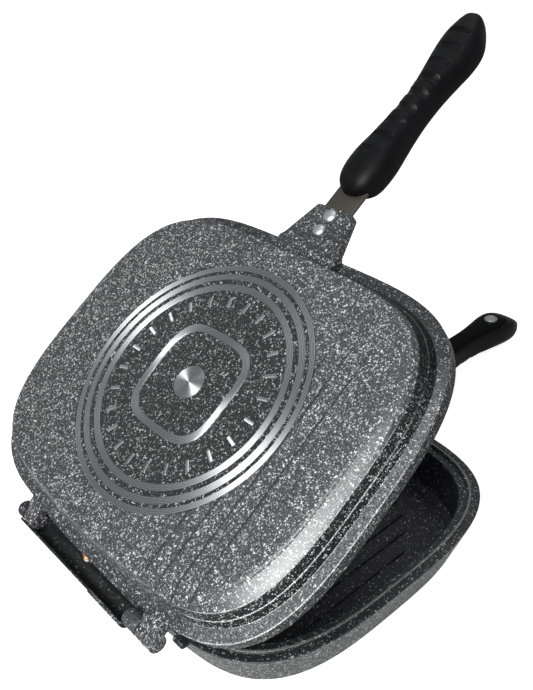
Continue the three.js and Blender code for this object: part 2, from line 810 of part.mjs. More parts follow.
function magnet() {
  return rodZ(magnetRadius, 0, gripFrom + magnetPlace, magnetFace, magnetFace + magnetHeight);
}

function magnetCup() {
  const y = gripFrom + magnetPlace;
  const body = rodZ(cupRadius, 0, y, magnetFace, magnetFace + cupHeight);
  return cut(body, rodZ(magnetRadius + fit, 0, y, magnetFace - overrun, magnetFace + magnetHeight + fit));
}

// One handle, drawn as the lid's
const ends = ['inner', 'outer'];

function handle(side) {
  const group = new THREE.Group();
  group.add(
    piece(`${side}_tang`, tangPlate(), tangSteel),
    piece(`${side}_grip`, grip(), gripBlack),
    piece(`${side}_magnet`, magnet(), magnetGrey),
    piece(`${side}_magnet_cup`, magnetCup(), magnetGrey),
  );
  ends.forEach((end, i) => group.add(
    piece(`${side}_rivet_${end}`, rivet(rivetPlaces[i]), rivetMetal),
    piece(`${side}_grip_screw_${end}`, gripScrew(screwPlaces[i]), screwSteel),
    piece(`${side}_grip_insert_${end}`, gripInsert(screwPlaces[i]), brass),
  ));
  return group;
}

// The pan, standing on its base rings with the lid part open

const lowerHandle = handle('lower');
lowerHandle.rotation.y = Math.PI;
lowerHandle.position.x = handleShift;

const lower = new THREE.Group();
lower.add(
  piece('lower_shell', lowerShell(), castGrey),
  piece('hinge_pin_left', hingePin(leftLug, leftLugWidth), pinSteel),
  piece('hinge_pin_right', hingePin(rightLug, rightLugWidth), pinSteel),
  lowerHandle,
);

const upperHandle = handle('upper');
upperHandle.position.x = handleShift;

const upper = new THREE.Group();
upper.rotation.x = openAngle;
upper.add(
  piece('upper_shell', upperShell(), castGrey),
  piece('rim_gasket', rimGasket(), silicone),
  piece('hinge_stud', hingeStud(), polished),
  upperHandle,
);

const pan = new THREE.Group();
pan.add(lower, upper);
pan.position.set(0, -discCentre, baseHeight);

const object = new THREE.Group();
object.add(pan);

export default object;
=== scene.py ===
# A double sided flip pan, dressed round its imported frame. Lengths in this file are in millimetres and
# are brought to metres by the placing matrices. X runs along the hinge, Y from the hinge to the handles.

import json
import math

import bmesh
import bpy
from mathutils import Matrix, Vector


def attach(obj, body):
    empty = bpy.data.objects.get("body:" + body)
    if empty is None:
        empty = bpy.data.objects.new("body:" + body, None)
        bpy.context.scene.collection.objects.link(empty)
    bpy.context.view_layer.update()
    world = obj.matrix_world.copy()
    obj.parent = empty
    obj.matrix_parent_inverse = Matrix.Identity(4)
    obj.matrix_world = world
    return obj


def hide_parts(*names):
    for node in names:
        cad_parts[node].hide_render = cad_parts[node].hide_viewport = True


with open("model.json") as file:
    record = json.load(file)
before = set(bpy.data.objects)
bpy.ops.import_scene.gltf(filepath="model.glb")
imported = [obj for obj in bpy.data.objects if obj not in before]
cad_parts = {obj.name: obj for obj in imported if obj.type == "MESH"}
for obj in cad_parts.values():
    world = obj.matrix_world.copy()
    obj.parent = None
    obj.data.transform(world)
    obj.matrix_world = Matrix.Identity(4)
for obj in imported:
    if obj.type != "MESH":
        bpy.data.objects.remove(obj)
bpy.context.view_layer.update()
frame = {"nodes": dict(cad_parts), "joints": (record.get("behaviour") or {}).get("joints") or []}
nodes = frame["nodes"]
scene = bpy.context.scene

# Sizes of the frame

HALF_WIDTH = 158.5
HALF_DEPTH = 124.75
WIDTH_POWER = 4.9
DEPTH_POWER = 3.1
HINGE_BOW = 3.0
BOW_REACH = 80.0
RIM_TO_AXIS = 7.8
SHELL_CENTRE = RIM_TO_AXIS + HINGE_BOW + HALF_DEPTH
RIM_END = SHELL_CENTRE + HALF_DEPTH
DISC_CENTRE = SHELL_CENTRE + 0.5
LID_HEIGHT = 28.0
BASE_HEIGHT = 40.0
RING_PROUD = 0.4
DISC_RECESS = 0.5
FLOOR_THICKNESS = 3.2
DISC_RADIUS = 91.0
RING_SHARES = ((1.0, 0.955), (0.925, 0.873), (0.831, 0.781))
HANDLE_SHIFT = -1.5
OPEN_ANGLE = math.radians(32.5)
LUG_RADIUS = 6.0
HINGE_ROOT = RIM_TO_AXIS + HINGE_BOW + 4.0
TAB_END = RIM_END + 32.5
GRIP_FROM = RIM_END + 46.0
GRIP_LENGTH = 163.5
GRIP_HALF = 17.0
GRIP_CROWN = 28.5
GRIP_INNER = 2.4
RIVET_PLACES = (TAB_END - 19.8, TAB_END - 6.8)
MAGNET_PLACE = GRIP_FROM + 127.0
MAGNET_FACE = GRIP_INNER - 1.7
SCREW_PLACES = (GRIP_FROM + 30.0, GRIP_FROM + 60.5)
RIB_PITCH = 12.7
RIB_WIDTH = 3.2
RIB_HEIGHT = 1.6
RIB_OVAL = (HALF_WIDTH - 28.5, HALF_DEPTH - 25.0)
RIB_POWER = 2.1
RIBS_EACH_SIDE = 9
RIB_PLACES = [i * RIB_PITCH for i in range(-RIBS_EACH_SIDE, RIBS_EACH_SIDE + 1)]
FLANGE_INSET = 7.5
FLANGE_HEIGHT = 9.5
STEP_HEIGHT = 15.0
WALL_HEIGHT = 22.2
RELIEF_ROOT = 0.3  # how far the relief reaches into the field under it
ROUND_STEPS = 64
LOOP = 288  # points round a shell

# Placing matrices: the hinge frame, the lid in it, the lower shell turned over in it, and the handles

MILLIMETRE = 0.001
TURNED_OVER = Matrix.Rotation(math.pi, 4, "Y")
ASIDE = Matrix.Translation((HANDLE_SHIFT, 0, 0))
HINGE = Matrix.Translation(Vector(frame["joints"][0]["pos_m"])) @ Matrix.Scale(MILLIMETRE, 4)
LID = HINGE @ Matrix.Rotation(OPEN_ANGLE, 4, "X")
BASE = HINGE @ TURNED_OVER
LID_HANDLE = LID @ ASIDE
BASE_HANDLE = HINGE @ ASIDE @ TURNED_OVER


# Materials

class Nodes:
    """A material's node tree, with short calls for what the finishes share."""

    def __init__(self, name, roughness, metallic=0.0, specular=0.5):
        self.material = bpy.data.materials.new(name)
        self.material.use_nodes = True
        self.tree = self.material.node_tree
        self.shader = self.tree.nodes["Principled BSDF"]
        self.shader.inputs["Roughness"].default_value = roughness
        self.shader.inputs["Metallic"].default_value = metallic
        self.shader.inputs["Specular IOR Level"].default_value = specular
        self.place = self.new("ShaderNodeTexCoord").outputs["Object"]

    def new(self, kind, **values):
        node = self.tree.nodes.new(kind)
        for key, value in values.items():
            setattr(node, key, value)
        return node

    def link(self, source, target):
        self.tree.links.new(source, target)

    def put(self, value, target):
        if isinstance(value, bpy.types.NodeSocket):
            self.link(value, target)
        else:
            target.default_value = value

    def axes(self):
        """X, Y and Z of the place, in metres of the part's frame or of the piece's own."""
        node = self.new("ShaderNodeSeparateXYZ")
        self.link(self.place, node.inputs[0])
        return node.outputs

    def math(self, operation, a, b=0.0):
        node = self.new("ShaderNodeMath", operation=operation)
        self.put(a, node.inputs[0])
        self.put(b, node.inputs[1])
        return node.outputs[0]

    def vector(self, operation, a, b=(0, 0, 0), scale=None):
        node = self.new("ShaderNodeVectorMath", operation=operation)
        self.put(a, node.inputs[0])
        self.put(b, node.inputs[1])
        if scale is not None:
            self.put(scale, node.inputs["Scale"])
        return node.outputs[0]

    def noise(self, scale, detail=2.0, rough=0.5, at=None):
        node = self.new("ShaderNodeTexNoise")
        self.link(at or self.place, node.inputs["Vector"])
        node.inputs["Scale"].default_value = scale
        node.inputs["Detail"].default_value = detail
        node.inputs["Roughness"].default_value = rough
        return node

    def ramp(self, value, low, high, to_low=0.0, to_high=1.0):
        node = self.new("ShaderNodeMapRange", interpolation_type="SMOOTHSTEP")
        self.put(value, node.inputs["Value"])
        self.put(low, node.inputs["From Min"])
        self.put(high, node.inputs["From Max"])
        node.inputs["To Min"].default_value = to_low
        node.inputs["To Max"].default_value = to_high
        return node.outputs["Result"]

    def mix(self, factor, a, b):
        node = self.new("ShaderNodeMix", data_type="RGBA")
        self.put(factor, node.inputs["Factor"])
        self.put(a, node.inputs["A"])
        self.put(b, node.inputs["B"])
        return node.outputs["Result"]

    def shade(self, colour, level):
        """A colour times a level."""
        return self.vector("SCALE", colour[:3] if isinstance(colour, tuple) else colour, scale=level)

    def bump(self, height, strength, distance):
        node = self.new("ShaderNodeBump")
        self.link(height, node.inputs["Height"])
        node.inputs["Strength"].default_value = strength
        node.inputs["Distance"].default_value = distance
        return node.outputs["Normal"]

    def finish(self, colour, normal, roughness=None):
        self.put(colour, self.shader.inputs["Base Color"])
        self.link(normal, self.shader.inputs["Normal"])
        if roughness is not None:
            self.put(roughness, self.shader.inputs["Roughness"])
        return self.material


def rgb(red, green, blue):
    """A linear colour from 0 to 255 display values."""
    out = []
    for value in (red, green, blue):
        share = value / 255
        out.append(share / 12.92 if share <= 0.04045 else ((share + 0.055) / 1.055) ** 2.4)
    return (*out, 1.0)


def dimmed(colour, share):
    return tuple(c * share for c in colour[:3]) + (1.0,)


def flecks(n, cell, low, high, twist, seed):
    """Mask of irregular flecks and a tone for each: a cell pattern of a size in metres, bent by twist. The
    share low of the cells stays bare, and the largest fleck reaches the share high of its cell."""
    shifted = n.vector("ADD", n.place, (seed * 0.37, seed * 0.53, seed * 0.71))
    warp = n.noise(1 / (cell * 0.45), 1.0, at=shifted).outputs["Color"]
    centred = n.vector("SUBTRACT", warp, (0.5, 0.5, 0.5))
    bent = n.vector("ADD", shifted, n.vector("SCALE", centred, scale=cell * twist))
    cells = n.new("ShaderNodeTexVoronoi")
    n.link(bent, cells.inputs["Vector"])
    cells.inputs["Scale"].default_value = 1 / cell
    chance = n.new("ShaderNodeSeparateColor")
    n.link(cells.outputs["Color"], chance.inputs[0])
    size = n.ramp(chance.outputs[0], low, 1.0, 0.0, high)
    edge = n.math("SUBTRACT", size, cells.outputs["Distance"])
    return n.ramp(edge, 0.0, 0.05), chance.outputs[1]


# Where the sink lines come in and end along X, and fade out along Y, in metres
MARKS_IN = (0.035, 0.070)
MARKS_OUT = (0.120, 0.111)
MARKS_FADE = (0.055, 0.0)


def sink_marks(n, x, y):
    """Faint lines on the outer floor opposite the ribs, beyond the disc on its +X side."""
    turns = n.math("ADD", n.math("DIVIDE", x, RIB_PITCH * MILLIMETRE), 100.3)
    away = n.math("ABSOLUTE", n.math("SUBTRACT", n.math("FRACT", turns), 0.5))
    line = n.math("MULTIPLY", n.ramp(away, 0.10, 0.035), n.ramp(n.noise(25, 2.0).outputs["Fac"], 0.25, 0.42))
    span = n.math("MULTIPLY", n.ramp(x, *MARKS_IN), n.ramp(x, *MARKS_OUT))
    span = n.math("MULTIPLY", span, n.ramp(y, *MARKS_FADE))
    return n.math("MULTIPLY", line, span)


# Cells of the coat's large and small shreds and of its black specks, in metres
LARGE_CELL = 0.0014
SMALL_CELL = 0.00085
SPECK_CELL = 0.0012
BLACK = rgb(10, 10, 11)
PAINTED_LIGHT_X = (0.088, 0.122)  # where along X the painted light and shade of the +X side come in, in metres


def granite(name, base, light, amount, roughness, black=1.0, gloss=0.4, side_shading=None, far=None, marks=False,
            turn=(0.025, 0.060), shaded_flecks=0.5):
    """Sprayed stone coating: a grey ground with an amount of light shreds, and black specks.
    Towards the +X side the ground has a colour of its own: painted light and shade, as that side is lit. far
    is the ground on the handle side, a painted shade, where the shreds are painted dimmer too. turn is where
    along Y the one gives way to the other."""
    n = Nodes(name, roughness, specular=gloss)
    x, y, _ = n.axes()
    # Painted light and shade: a ground of its own on the +X side, and painted shade with dimmer shreds on the
    # handle side
    if side_shading:
        near_hinge = n.ramp(y, turn[1], turn[0])
        side = n.math("MULTIPLY", n.ramp(x, *PAINTED_LIGHT_X), near_hinge)
        handle_shade = n.ramp(y, *turn)
        base = n.mix(handle_shade, base, far)
        light = n.shade(light, n.math("SUBTRACT", 1.0, n.math("MULTIPLY", handle_shade, 1 - shaded_flecks)))
        base = n.mix(side, base, side_shading)
    cloud = n.ramp(n.noise(55, 3.0).outputs["Fac"], 0.3, 0.7, 0.82, 1.0)
    grit = n.noise(1250, 2.0, 0.7).outputs["Fac"]
    level = n.math("MULTIPLY", cloud, n.ramp(grit, 0.38, 0.66, 0.30, 1.95))
    # With marks the ground is also painted darker towards -X and lighter towards +X: painted shade and light,
    # the falloff of the lamps across the floor
    if marks:
        level = n.math("MULTIPLY", level, n.ramp(x, -0.15, 0.12, 0.55, 1.2))
    ground = n.shade(base, level)
    large, shade = flecks(n, LARGE_CELL, 1 - 0.52 * amount, 0.50, 2.0, 1)
    small, tone = flecks(n, SMALL_CELL, 1 - 0.56 * amount, 0.52, 1.4, 2)
    specks, _ = flecks(n, SPECK_CELL, 0.45, 0.42, 1.0, 3)
    pale = n.shade(light, n.ramp(shade, 0.1, 0.6, 0.6, 1.1))
    paler = n.shade(light, n.ramp(tone, 0.1, 0.9, 0.35, 1.1))
    colour = n.mix(n.math("MULTIPLY", specks, 0.85 * black), ground, BLACK)
    colour = n.mix(n.math("MULTIPLY", small, 0.9), colour, paler)
    colour = n.mix(large, colour, pale)
    relief = n.math("ADD", n.math("MULTIPLY", n.math("MAXIMUM", large, small), 0.35), grit)
    if marks:
        mark = sink_marks(n, x, y)
        colour = n.shade(colour, n.math("SUBTRACT", 1.0, n.math("MULTIPLY", mark, 0.78)))
        relief = n.math("SUBTRACT", relief, n.math("MULTIPLY", mark, 1.5))
    normal = n.bump(relief, 0.32, 0.00025)
    return n.finish(colour, normal, n.ramp(grit, 0.3, 0.7, roughness - 0.05, roughness + 0.06))


def metal(name, colour, roughness, grain, depth, wear=0.18):
    """Bare metal with a fine grain, of a count per metre along each axis."""
    n = Nodes(name, roughness, metallic=1.0)
    fine = n.noise(1.0, 3.0, at=n.vector("MULTIPLY", n.place, grain)).outputs["Fac"]
    patch = n.ramp(n.noise(70, 4.0).outputs["Fac"], 0.35, 0.75)
    tint = n.mix(n.math("MULTIPLY", n.math("ADD", patch, fine), 0.5), dimmed(colour, 1 - 2 * wear), colour)
    normal = n.bump(fine, depth, 0.0001)
    return n.finish(tint, normal, n.ramp(patch, 0.0, 1.0, roughness + 0.07, roughness - 0.03))


def turned(name, colour, roughness):
    """Face turned on a lathe: fine rings round the piece's own origin."""
    n = Nodes(name, roughness, metallic=1.0)
    x, y, _ = n.axes()
    square = n.math("ADD", n.math("POWER", x, 2.0), n.math("POWER", y, 2.0))
    radius = n.math("SQRT", square)
    wobble = n.noise(40, 1.0).outputs["Fac"]
    turns = n.math("SINE", n.math("ADD", n.math("MULTIPLY", radius, 6200.0), wobble))
    along = n.new("ShaderNodeCombineXYZ")
    n.link(n.math("MULTIPLY", radius, 3000.0), along.inputs[0])
    streak = n.noise(1.0, 4.0, 0.8, at=along.outputs[0]).outputs["Fac"]
    rings = n.math("ADD", n.math("MULTIPLY", turns, 0.2), streak)
    tint = n.mix(n.ramp(rings, 0.3, 0.62), dimmed(colour, 0.42), colour)
    tangent = n.new("ShaderNodeTangent", direction_type="RADIAL", axis="Z")
    n.link(tangent.outputs[0], n.shader.inputs["Tangent"])
    n.shader.inputs["Anisotropic"].default_value = 0.9
    n.shader.inputs["Anisotropic Rotation"].default_value = 0.25
    return n.finish(tint, n.bump(rings, 0.3, 0.00008))


def plastic(name, colour, roughness, grain=1400.0, depth=0.25, gloss=0.12):
    """Moulded plastic or rubber with a fine skin and faint handling marks."""
    n = Nodes(name, roughness, specular=gloss)
    skin = n.noise(grain, 3.0, 0.6).outputs["Fac"]
    patch = n.ramp(n.noise(45, 3.0).outputs["Fac"], 0.3, 0.7)
    pale = tuple(c * 1.7 + 0.0015 for c in colour[:3]) + (1.0,)
    tint = n.mix(n.math("MULTIPLY", patch, 0.5), colour, pale)
    normal = n.bump(skin, depth, 0.0001)
    return n.finish(tint, normal, n.ramp(patch, 0.0, 1.0, roughness - 0.04, roughness + 0.08))


GREY = rgb(62, 66, 66)
# Painted shade: the ground of the lid's wall on its +X side
SHADED_WALL_GREY = rgb(42, 45, 45)
# Painted light: the ground of the flange on its +X side
LIT_FLANGE_GREY = rgb(104, 108, 108)
WHITE = rgb(252, 253, 253)
coat_outer = granite("coat_outer", GREY, WHITE, 0.95, 0.36)
coat_floor = granite("coat_floor", GREY, WHITE, 1.0, 0.36, gloss=0.6, marks=True)
coat_disc = granite("coat_disc", rgb(40, 42, 42), rgb(215, 217, 217), 0.7, 0.38)
# The lid's wall: painted shade on its +X side, and deeper painted shade with dim shreds on the handle side
coat_side_shade = granite("coat_side_shade", GREY, WHITE, 0.8, 0.45, gloss=0.1, side_shading=SHADED_WALL_GREY, far=rgb(20, 21, 22),
                    turn=(0.0, 0.05), shaded_flecks=0.12)
# The floor's edge: a dark band of painted shade along it on the handle side
coat_edge_shade = granite("coat_edge_shade", GREY, WHITE, 1.0, 0.36, gloss=0.6, side_shading=GREY, far=rgb(18, 19, 20),
                    marks=True, turn=(0.042, 0.058), shaded_flecks=0.2)
coat_tab = granite("coat_tab", rgb(56, 60, 61), WHITE, 0.65, 0.36)
coat_trough = granite("coat_trough", rgb(25, 26, 27), rgb(160, 162, 162), 0.15, 0.42, 0.1, 0.3)
# The skirt: painted shade, darker on its +X side and darkest on the handle side
coat_skirt_shade = granite("coat_skirt_shade", GREY, WHITE, 0.8, 0.42, gloss=0.2, side_shading=rgb(50, 53, 53),
                     far=rgb(26, 28, 29), turn=(-0.04, 0.03))
# The flange: painted light on its +X side, painted shade on the handle side
coat_flange = granite("coat_flange", GREY, WHITE, 0.65, 0.36, black=0.3, side_shading=LIT_FLANGE_GREY, far=rgb(46, 49, 49))
# Thin painted highlights along the lid's edges, bright on the +X side and in painted shade on the handle side
coat_highlight_line = granite("coat_highlight_line", GREY, WHITE, 0.6, 0.35, black=0.3, side_shading=rgb(196, 198, 198),
                    far=rgb(34, 36, 37), turn=(-0.035, 0.03))
coat_wall = granite("coat_wall", rgb(60, 63, 63), WHITE, 0.95, 0.42, black=0.6)
coat_plain = granite("coat_plain", rgb(78, 81, 82), WHITE, 0.15, 0.40, black=0.2)
coat_rim = granite("coat_rim", rgb(38, 40, 41), rgb(190, 192, 192), 0.45, 0.42, 0.2, 0.3)
coat_inner = granite("coat_inner", rgb(26, 26, 32), rgb(165, 167, 171), 0.26, 0.42, 0.1, 0.3)
# The ridge's top: a painted highlight
coat_ridge_highlight = granite("coat_ridge_highlight", rgb(112, 115, 113), rgb(225, 226, 226), 0.3, 0.38, black=0.1)
ring_metal = turned("ring_metal", rgb(174, 176, 176), 0.52)
rivet_metal = metal("rivet_metal", rgb(203, 205, 206), 0.33, (500, 500, 500), 0.12)
tang_metal = metal("tang_metal", rgb(100, 96, 90), 0.42, (2600, 260, 2600), 0.35)
steel = metal("steel", rgb(176, 178, 180), 0.33, (1200, 1200, 1200), 0.2)
brass = metal("brass", rgb(178, 142, 72), 0.36, (1200, 1200, 1200), 0.2)
magnet_metal = metal("magnet_metal", rgb(178, 180, 182), 0.36, (700, 700, 700), 0.2)
copper = metal("copper", rgb(176, 112, 66), 0.45, (900, 900, 900), 0.1, 0.1)
stud_metal = metal("stud_metal", rgb(240, 236, 230), 0.16, (900, 900, 900), 0.1, 0.05)
grip_black = plastic("grip_black", rgb(6, 6, 8), 0.44)
grip_flat = plastic("grip_flat", rgb(3, 3, 4), 0.55, gloss=0.04)
silicone = plastic("silicone", rgb(40, 42, 44), 0.6, 900.0, 0.3)


# Meshes

BEVELLED = math.radians(28)  # the least angle of an edge that a bevel takes


def piece(name, points, faces, place, body, finish, stands_for=(), angle=35.0, paint=None, bevel=0.0):
    """One piece of the object. finish is a material or a list of them, chosen face by face by paint. Edges
    over angle degrees stay sharp, and bevel is the width of the bevel on the corners."""
    mesh = bpy.data.meshes.new(name)
    mesh.from_pydata([place @ Vector(p) for p in points], [], faces)
    finishes = finish if isinstance(finish, list) else [finish]
    for material in finishes:
        mesh.materials.append(material)
    if paint:
        for polygon, index in zip(mesh.polygons, paint):
            polygon.material_index = index
    work = bmesh.new()
    work.from_mesh(mesh)
    bmesh.ops.remove_doubles(work, verts=work.verts, dist=1e-6)
    bmesh.ops.recalc_face_normals(work, faces=work.faces)
    if bevel:
        corners = [e for e in work.edges if e.is_manifold and e.calc_face_angle(0) > BEVELLED]
        offset = bevel * MILLIMETRE
        bmesh.ops.bevel(work, geom=corners, offset=offset, segments=3, profile=0.5, affect="EDGES")
    work.to_mesh(mesh)
    work.free()
    mesh.shade_smooth()
    mesh.set_sharp_from_angle(angle=math.radians(angle))
    obj = bpy.data.objects.new(name, mesh)
    scene.collection.objects.link(obj)
    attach(obj, body)
    if stands_for:
        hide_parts(*stands_for)
    return obj


def skin(loops, closed=False):
    """Points and faces of a skin over loops of equally many points, and the loop that each face is on."""
    count = len(loops[0])
    points = [p for loop in loops for p in loop]
    faces = []
    rows = []
    last = len(loops) if closed else len(loops) - 1
    for row in range(last):
        after = (row + 1) % len(loops)
        for step in range(count):
            nxt = (step + 1) % count
            faces.append((row * count + step, after * count + step, after * count + nxt, row * count + nxt))
            rows.append(row)
    if not closed:
        for end, row in ((0, 0), (len(loops) - 1, last - 1)):
            middle = sum((Vector(p) for p in loops[end]), Vector()) / count
            points.append(tuple(middle))
            for step in range(count):
                faces.append((len(points) - 1, end * count + step, end * count + (step + 1) % count))
                rows.append(row)
    return points, faces, rows


def rounded(points, radii, steps=5, closed=False):
    """A polyline with its corners rounded. radii gives one radius for each point."""
    out = []
    count = len(points)
    for i, (point, radius) in enumerate(zip(points, radii)):
        here = Vector(point)
        ends = not closed and i in (0, count - 1)
        if ends or radius <= 0:
            out.append(tuple(here))
            continue
        before = Vector(points[i - 1]) - here
        after = Vector(points[(i + 1) % count]) - here
        half = before.angle(after) / 2
        reach = min(radius / math.tan(half), before.length * 0.49, after.length * 0.49)
        start = here + before.normalized() * reach
        stop = here + after.normalized() * reach
        for k in range(steps + 1):
            t = k / steps
            out.append(tuple(start * (1 - t) ** 2 + here * 2 * t * (1 - t) + stop * t ** 2))
    return out


def outline_at(turn, inset, handle_inset=None):
    """A place on the rounded square that the rim follows, moved in by an inset, or on the handle side by
    an inset of its own."""
    c = math.cos(turn)
    s = math.sin(turn)
    deep = inset if s < 0 or handle_inset is None else handle_inset
    x = (HALF_WIDTH - inset) * math.copysign(abs(c) ** (2 / WIDTH_POWER), c)
    y = (HALF_DEPTH - deep) * math.copysign(abs(s) ** (2 / DEPTH_POWER), s)
    bow = HINGE_BOW * max(0.0, 1 - (x / BOW_REACH) ** 2) ** 2 if s < 0 else 0.0
    return x, SHELL_CENTRE + y - bow


FINE_STEPS = 20000


def even_turns():
    """Turns at which the points of the rim lie evenly along it."""
    length = [0.0]
    spots = [outline_at(2 * math.pi * i / FINE_STEPS, 0) for i in range(FINE_STEPS + 1)]
    for a, b in zip(spots, spots[1:]):
        length.append(length[-1] + math.dist(a, b))
    turns = []
    k = 0
    for i in range(LOOP):
        want = length[-1] * i / LOOP
        while length[k + 1] < want:
            k += 1
        share = (want - length[k]) / (length[k + 1] - length[k])
        turns.append(2 * math.pi * (k + share) / FINE_STEPS)
    return turns


TURNS = even_turns()
BEARINGS = []
for turn in TURNS:
    at_x, at_y = outline_at(turn, 0)
    BEARINGS.append(math.atan2(at_y - DISC_CENTRE, at_x))


def rim_loop(inset, height):
    return [(*outline_at(turn, inset), height) for turn in TURNS]


def eased(value, low, high):
    share = min(1.0, max(0.0, (value - low) / (high - low)))
    return share * share * (3 - 2 * share)


# The broad rounding comes in between the first two places along X, and goes out over the last length before
# its end along Y
BROAD_FROM = 25
BROAD_FULL = 100
BROAD_END = SHELL_CENTRE + 95
BROAD_FADE = 75


def mixed_loop(here, broad):
    """A loop whose height goes from one section's to another's towards the +X side."""
    inset, height, crisp = here
    out = []
    for turn in TURNS:
        x, y = outline_at(turn, inset, crisp)
        share = eased(x, BROAD_FROM, BROAD_FULL) * eased(BROAD_END - y, 0, BROAD_FADE)
        out.append((x, y, height + (broad[1] - height) * share))
    return out


def disc_loop(radius, height):
    return [(radius * math.cos(b), DISC_CENTRE + radius * math.sin(b), height) for b in BEARINGS]


FLOOR_INSET = 29.2
EDGE_INSET = 18.2
WALL_INSET = 12.3
CRISP_WALL = 14
CRISP_SHARES = (1.354, 0.153, 1.3)  # what the wall's, edge's and floor's insets are stretched by there


def lid_outside():
    """Section of the lid from the edge of its floor to its rim's outer edge, as [inset, height, inset on the
    handle side], where the wall leans more and the floor ends in a crisp edge."""
    floor = LID_HEIGHT - RING_PROUD
    corners = [(inset, floor) for inset in (FLOOR_INSET, 27.8, 26.3, 24.8, 23.3, 22.0, 21.5, 21.1, 20.6)]
    corners += [(20.2, floor), (19.2, floor), (EDGE_INSET, floor)]
    radii = [0] * len(corners) + [5.5, 0.2, 0.15, 0.2, 0.15, 0.5, 0.7, 0.4]
    corners += [(14.4, floor - 0.1), (12.2, WALL_HEIGHT + 0.4), (11.8, WALL_HEIGHT)]
    corners += [(9.9, STEP_HEIGHT + 0.4), (9.4, STEP_HEIGHT), (FLANGE_INSET, FLANGE_HEIGHT)]
    corners += [(0.0, FLANGE_HEIGHT), (0.0, 0.3)]
    section = rounded(corners, radii, 6)[:-1] + [(0.12, 0.42), (0.4, 0.3)]
    out = []
    for inset, height in section:
        crisp = inset
        if FLANGE_INSET < inset <= WALL_INSET:
            crisp = FLANGE_INSET + (inset - FLANGE_INSET) * CRISP_SHARES[0]
        elif WALL_INSET < inset <= EDGE_INSET:
            crisp = CRISP_WALL + (inset - WALL_INSET) * CRISP_SHARES[1]
        elif inset > EDGE_INSET:
            crisp = FLOOR_INSET - (FLOOR_INSET - inset) * CRISP_SHARES[2]
        out.append((inset, height, crisp))
    return out


ROUND_ABOVE = 22.7  # the height above which the wall's top is rounded
ROUND_INSET = 12.25

# How far the broad rounding lies below the floor, at each inset
BROAD = ((FLOOR_INSET, 0.0), (26.5, 0.05), (24.5, 0.2), (23.0, 0.4), (21.9, 0.65), (21.3, 0.95), (20.6, 0.95))
BROAD += ((19.2, 1.5), (17.5, 2.2), (15.5, 3.1), (14.0, 3.85), (13.0, 4.4), (12.2, 4.87))


def broad_outside():
    """The same section with the broad, low rounding of the lid's +X side, point for point."""
    out = []
    for inset, height, crisp in lid_outside():
        if inset > ROUND_INSET and height > ROUND_ABOVE:
            height = LID_HEIGHT - RING_PROUD
            for (far, high), (near, low) in zip(BROAD, BROAD[1:]):
                if near <= inset <= far:
                    share = (far - inset) / (far - near)
                    height -= high + (low - high) * share
        out.append((inset, height, crisp))
    return out


def base_outside():
    """Section of the lower shell's plain wall, in the same terms."""
    floor = BASE_HEIGHT - RING_PROUD
    corners = [(24.0, floor), (13.6, floor - 0.1), (0.0, 1.2), (0.0, 0.3)]
    section = rounded(corners, [0, 7.0, 2.0, 0], 7)[:-1] + [(0.08, 0.75), (0.3, 0.42), (0.7, 0.3)]
    return [(inset, height, inset) for inset, height in section]


def cavity(floor):
    """Section of a cavity from the rim's inner edge to its floor, as [inset, height]."""
    corners = [(12.6, 3.0), (14.2, floor - 1.0), (18.2, floor), (24.0, floor)]
    return rounded(corners, [0, 2.0, 4.5, 0], 8)


def lid_rim():
    """Section of the lid's rim, with the gasket's groove."""
    corners = [(4.0, 0.3), (4.0, 4.4), (8.4, 4.4), (8.4, 0.3), (12.6, 0.3), (12.9, 4.0)]
    return rounded(corners, [0.25, 0.2, 0.2, 0.25, 0.5, 0], 3)


def base_rim():
    """Section of the lower shell's rim: land, ridge, ledge and lip."""
    corners = [(4.4, 0.3), (4.9, 0.3), (5.4, -0.9), (7.0, -0.9), (7.5, 0.3), (7.5, 2.2), (12.4, 2.2)]
    corners.append((12.7, 4.2))
    return rounded(corners, [0, 0.3, 0.55, 0.55, 0.2, 0.3, 0.8, 0], 4)


WALL_MARK = 13  # the inset at which the outer floor gives way to the wall


def shell_loops(height, outside, broad, rim, inner_floor):
    """Loops of a whole casting, from the middle of its outer floor round the rim to its cavity, and the part
    of the casting that each is on."""
    floor = height - RING_PROUD
    field = floor - DISC_RECESS
    inner = DISC_RADIUS * RING_SHARES[-1][-1]
    disc = [(4, field), (inner - 0.3, field), (inner + 0.1, field + 0.25), (inner + 1.5, floor)]
    disc += [(DISC_RADIUS, floor), (DISC_RADIUS + 0.15, floor - 0.5), (DISC_RADIUS + 0.75, floor - 0.5)]
    disc += [(DISC_RADIUS + 1.0, floor)]
    loops = [disc_loop(r, z) for r, z in disc]
    marks = ["disc"] * 4 + ["floor"] * (len(disc) - 4)
    loops += [mixed_loop(here, far) for here, far in zip(outside, broad)]
    marks += ["floor" if inset > WALL_MARK else "outer" for inset, _, _ in outside]
    for part, section in (("rim", rim), ("inner", inner_floor)):
        loops += [rim_loop(i, z) for i, z in section]
        marks += [part] * len(section)
    loops.append(disc_loop(60, inner_floor[-1][1]))
    marks.append("inner")
    return loops, marks


COATS = {
    "outer": coat_outer, "rim": coat_rim, "inner": coat_inner, "ridge": coat_ridge_highlight, "flange": coat_flange,
    "line": coat_highlight_line, "floor": coat_floor, "wall": coat_wall, "disc": coat_disc, "side": coat_side_shade,
    "skirt": coat_skirt_shade, "edge": coat_edge_shade,
}
COAT_ORDER = list(COATS)


def casting(body, place, height, outsides, rim, coat_of, stands_for):
    inner = cavity(height - RING_PROUD - FLOOR_THICKNESS)
    loops, marks = shell_loops(height, *outsides, rim, inner)
    points, faces, rows = skin(loops)
    coats = [coat_of(mark, here[0], there[0]) for mark, here, there in zip(marks, loops, loops[1:])]
    paint = [COAT_ORDER.index(coats[row]) for row in rows]
    finishes = list(COATS.values())
    name = f"{body}_casting"
    return piece(name, points, faces, place, body, finishes, [stands_for], 30, paint)


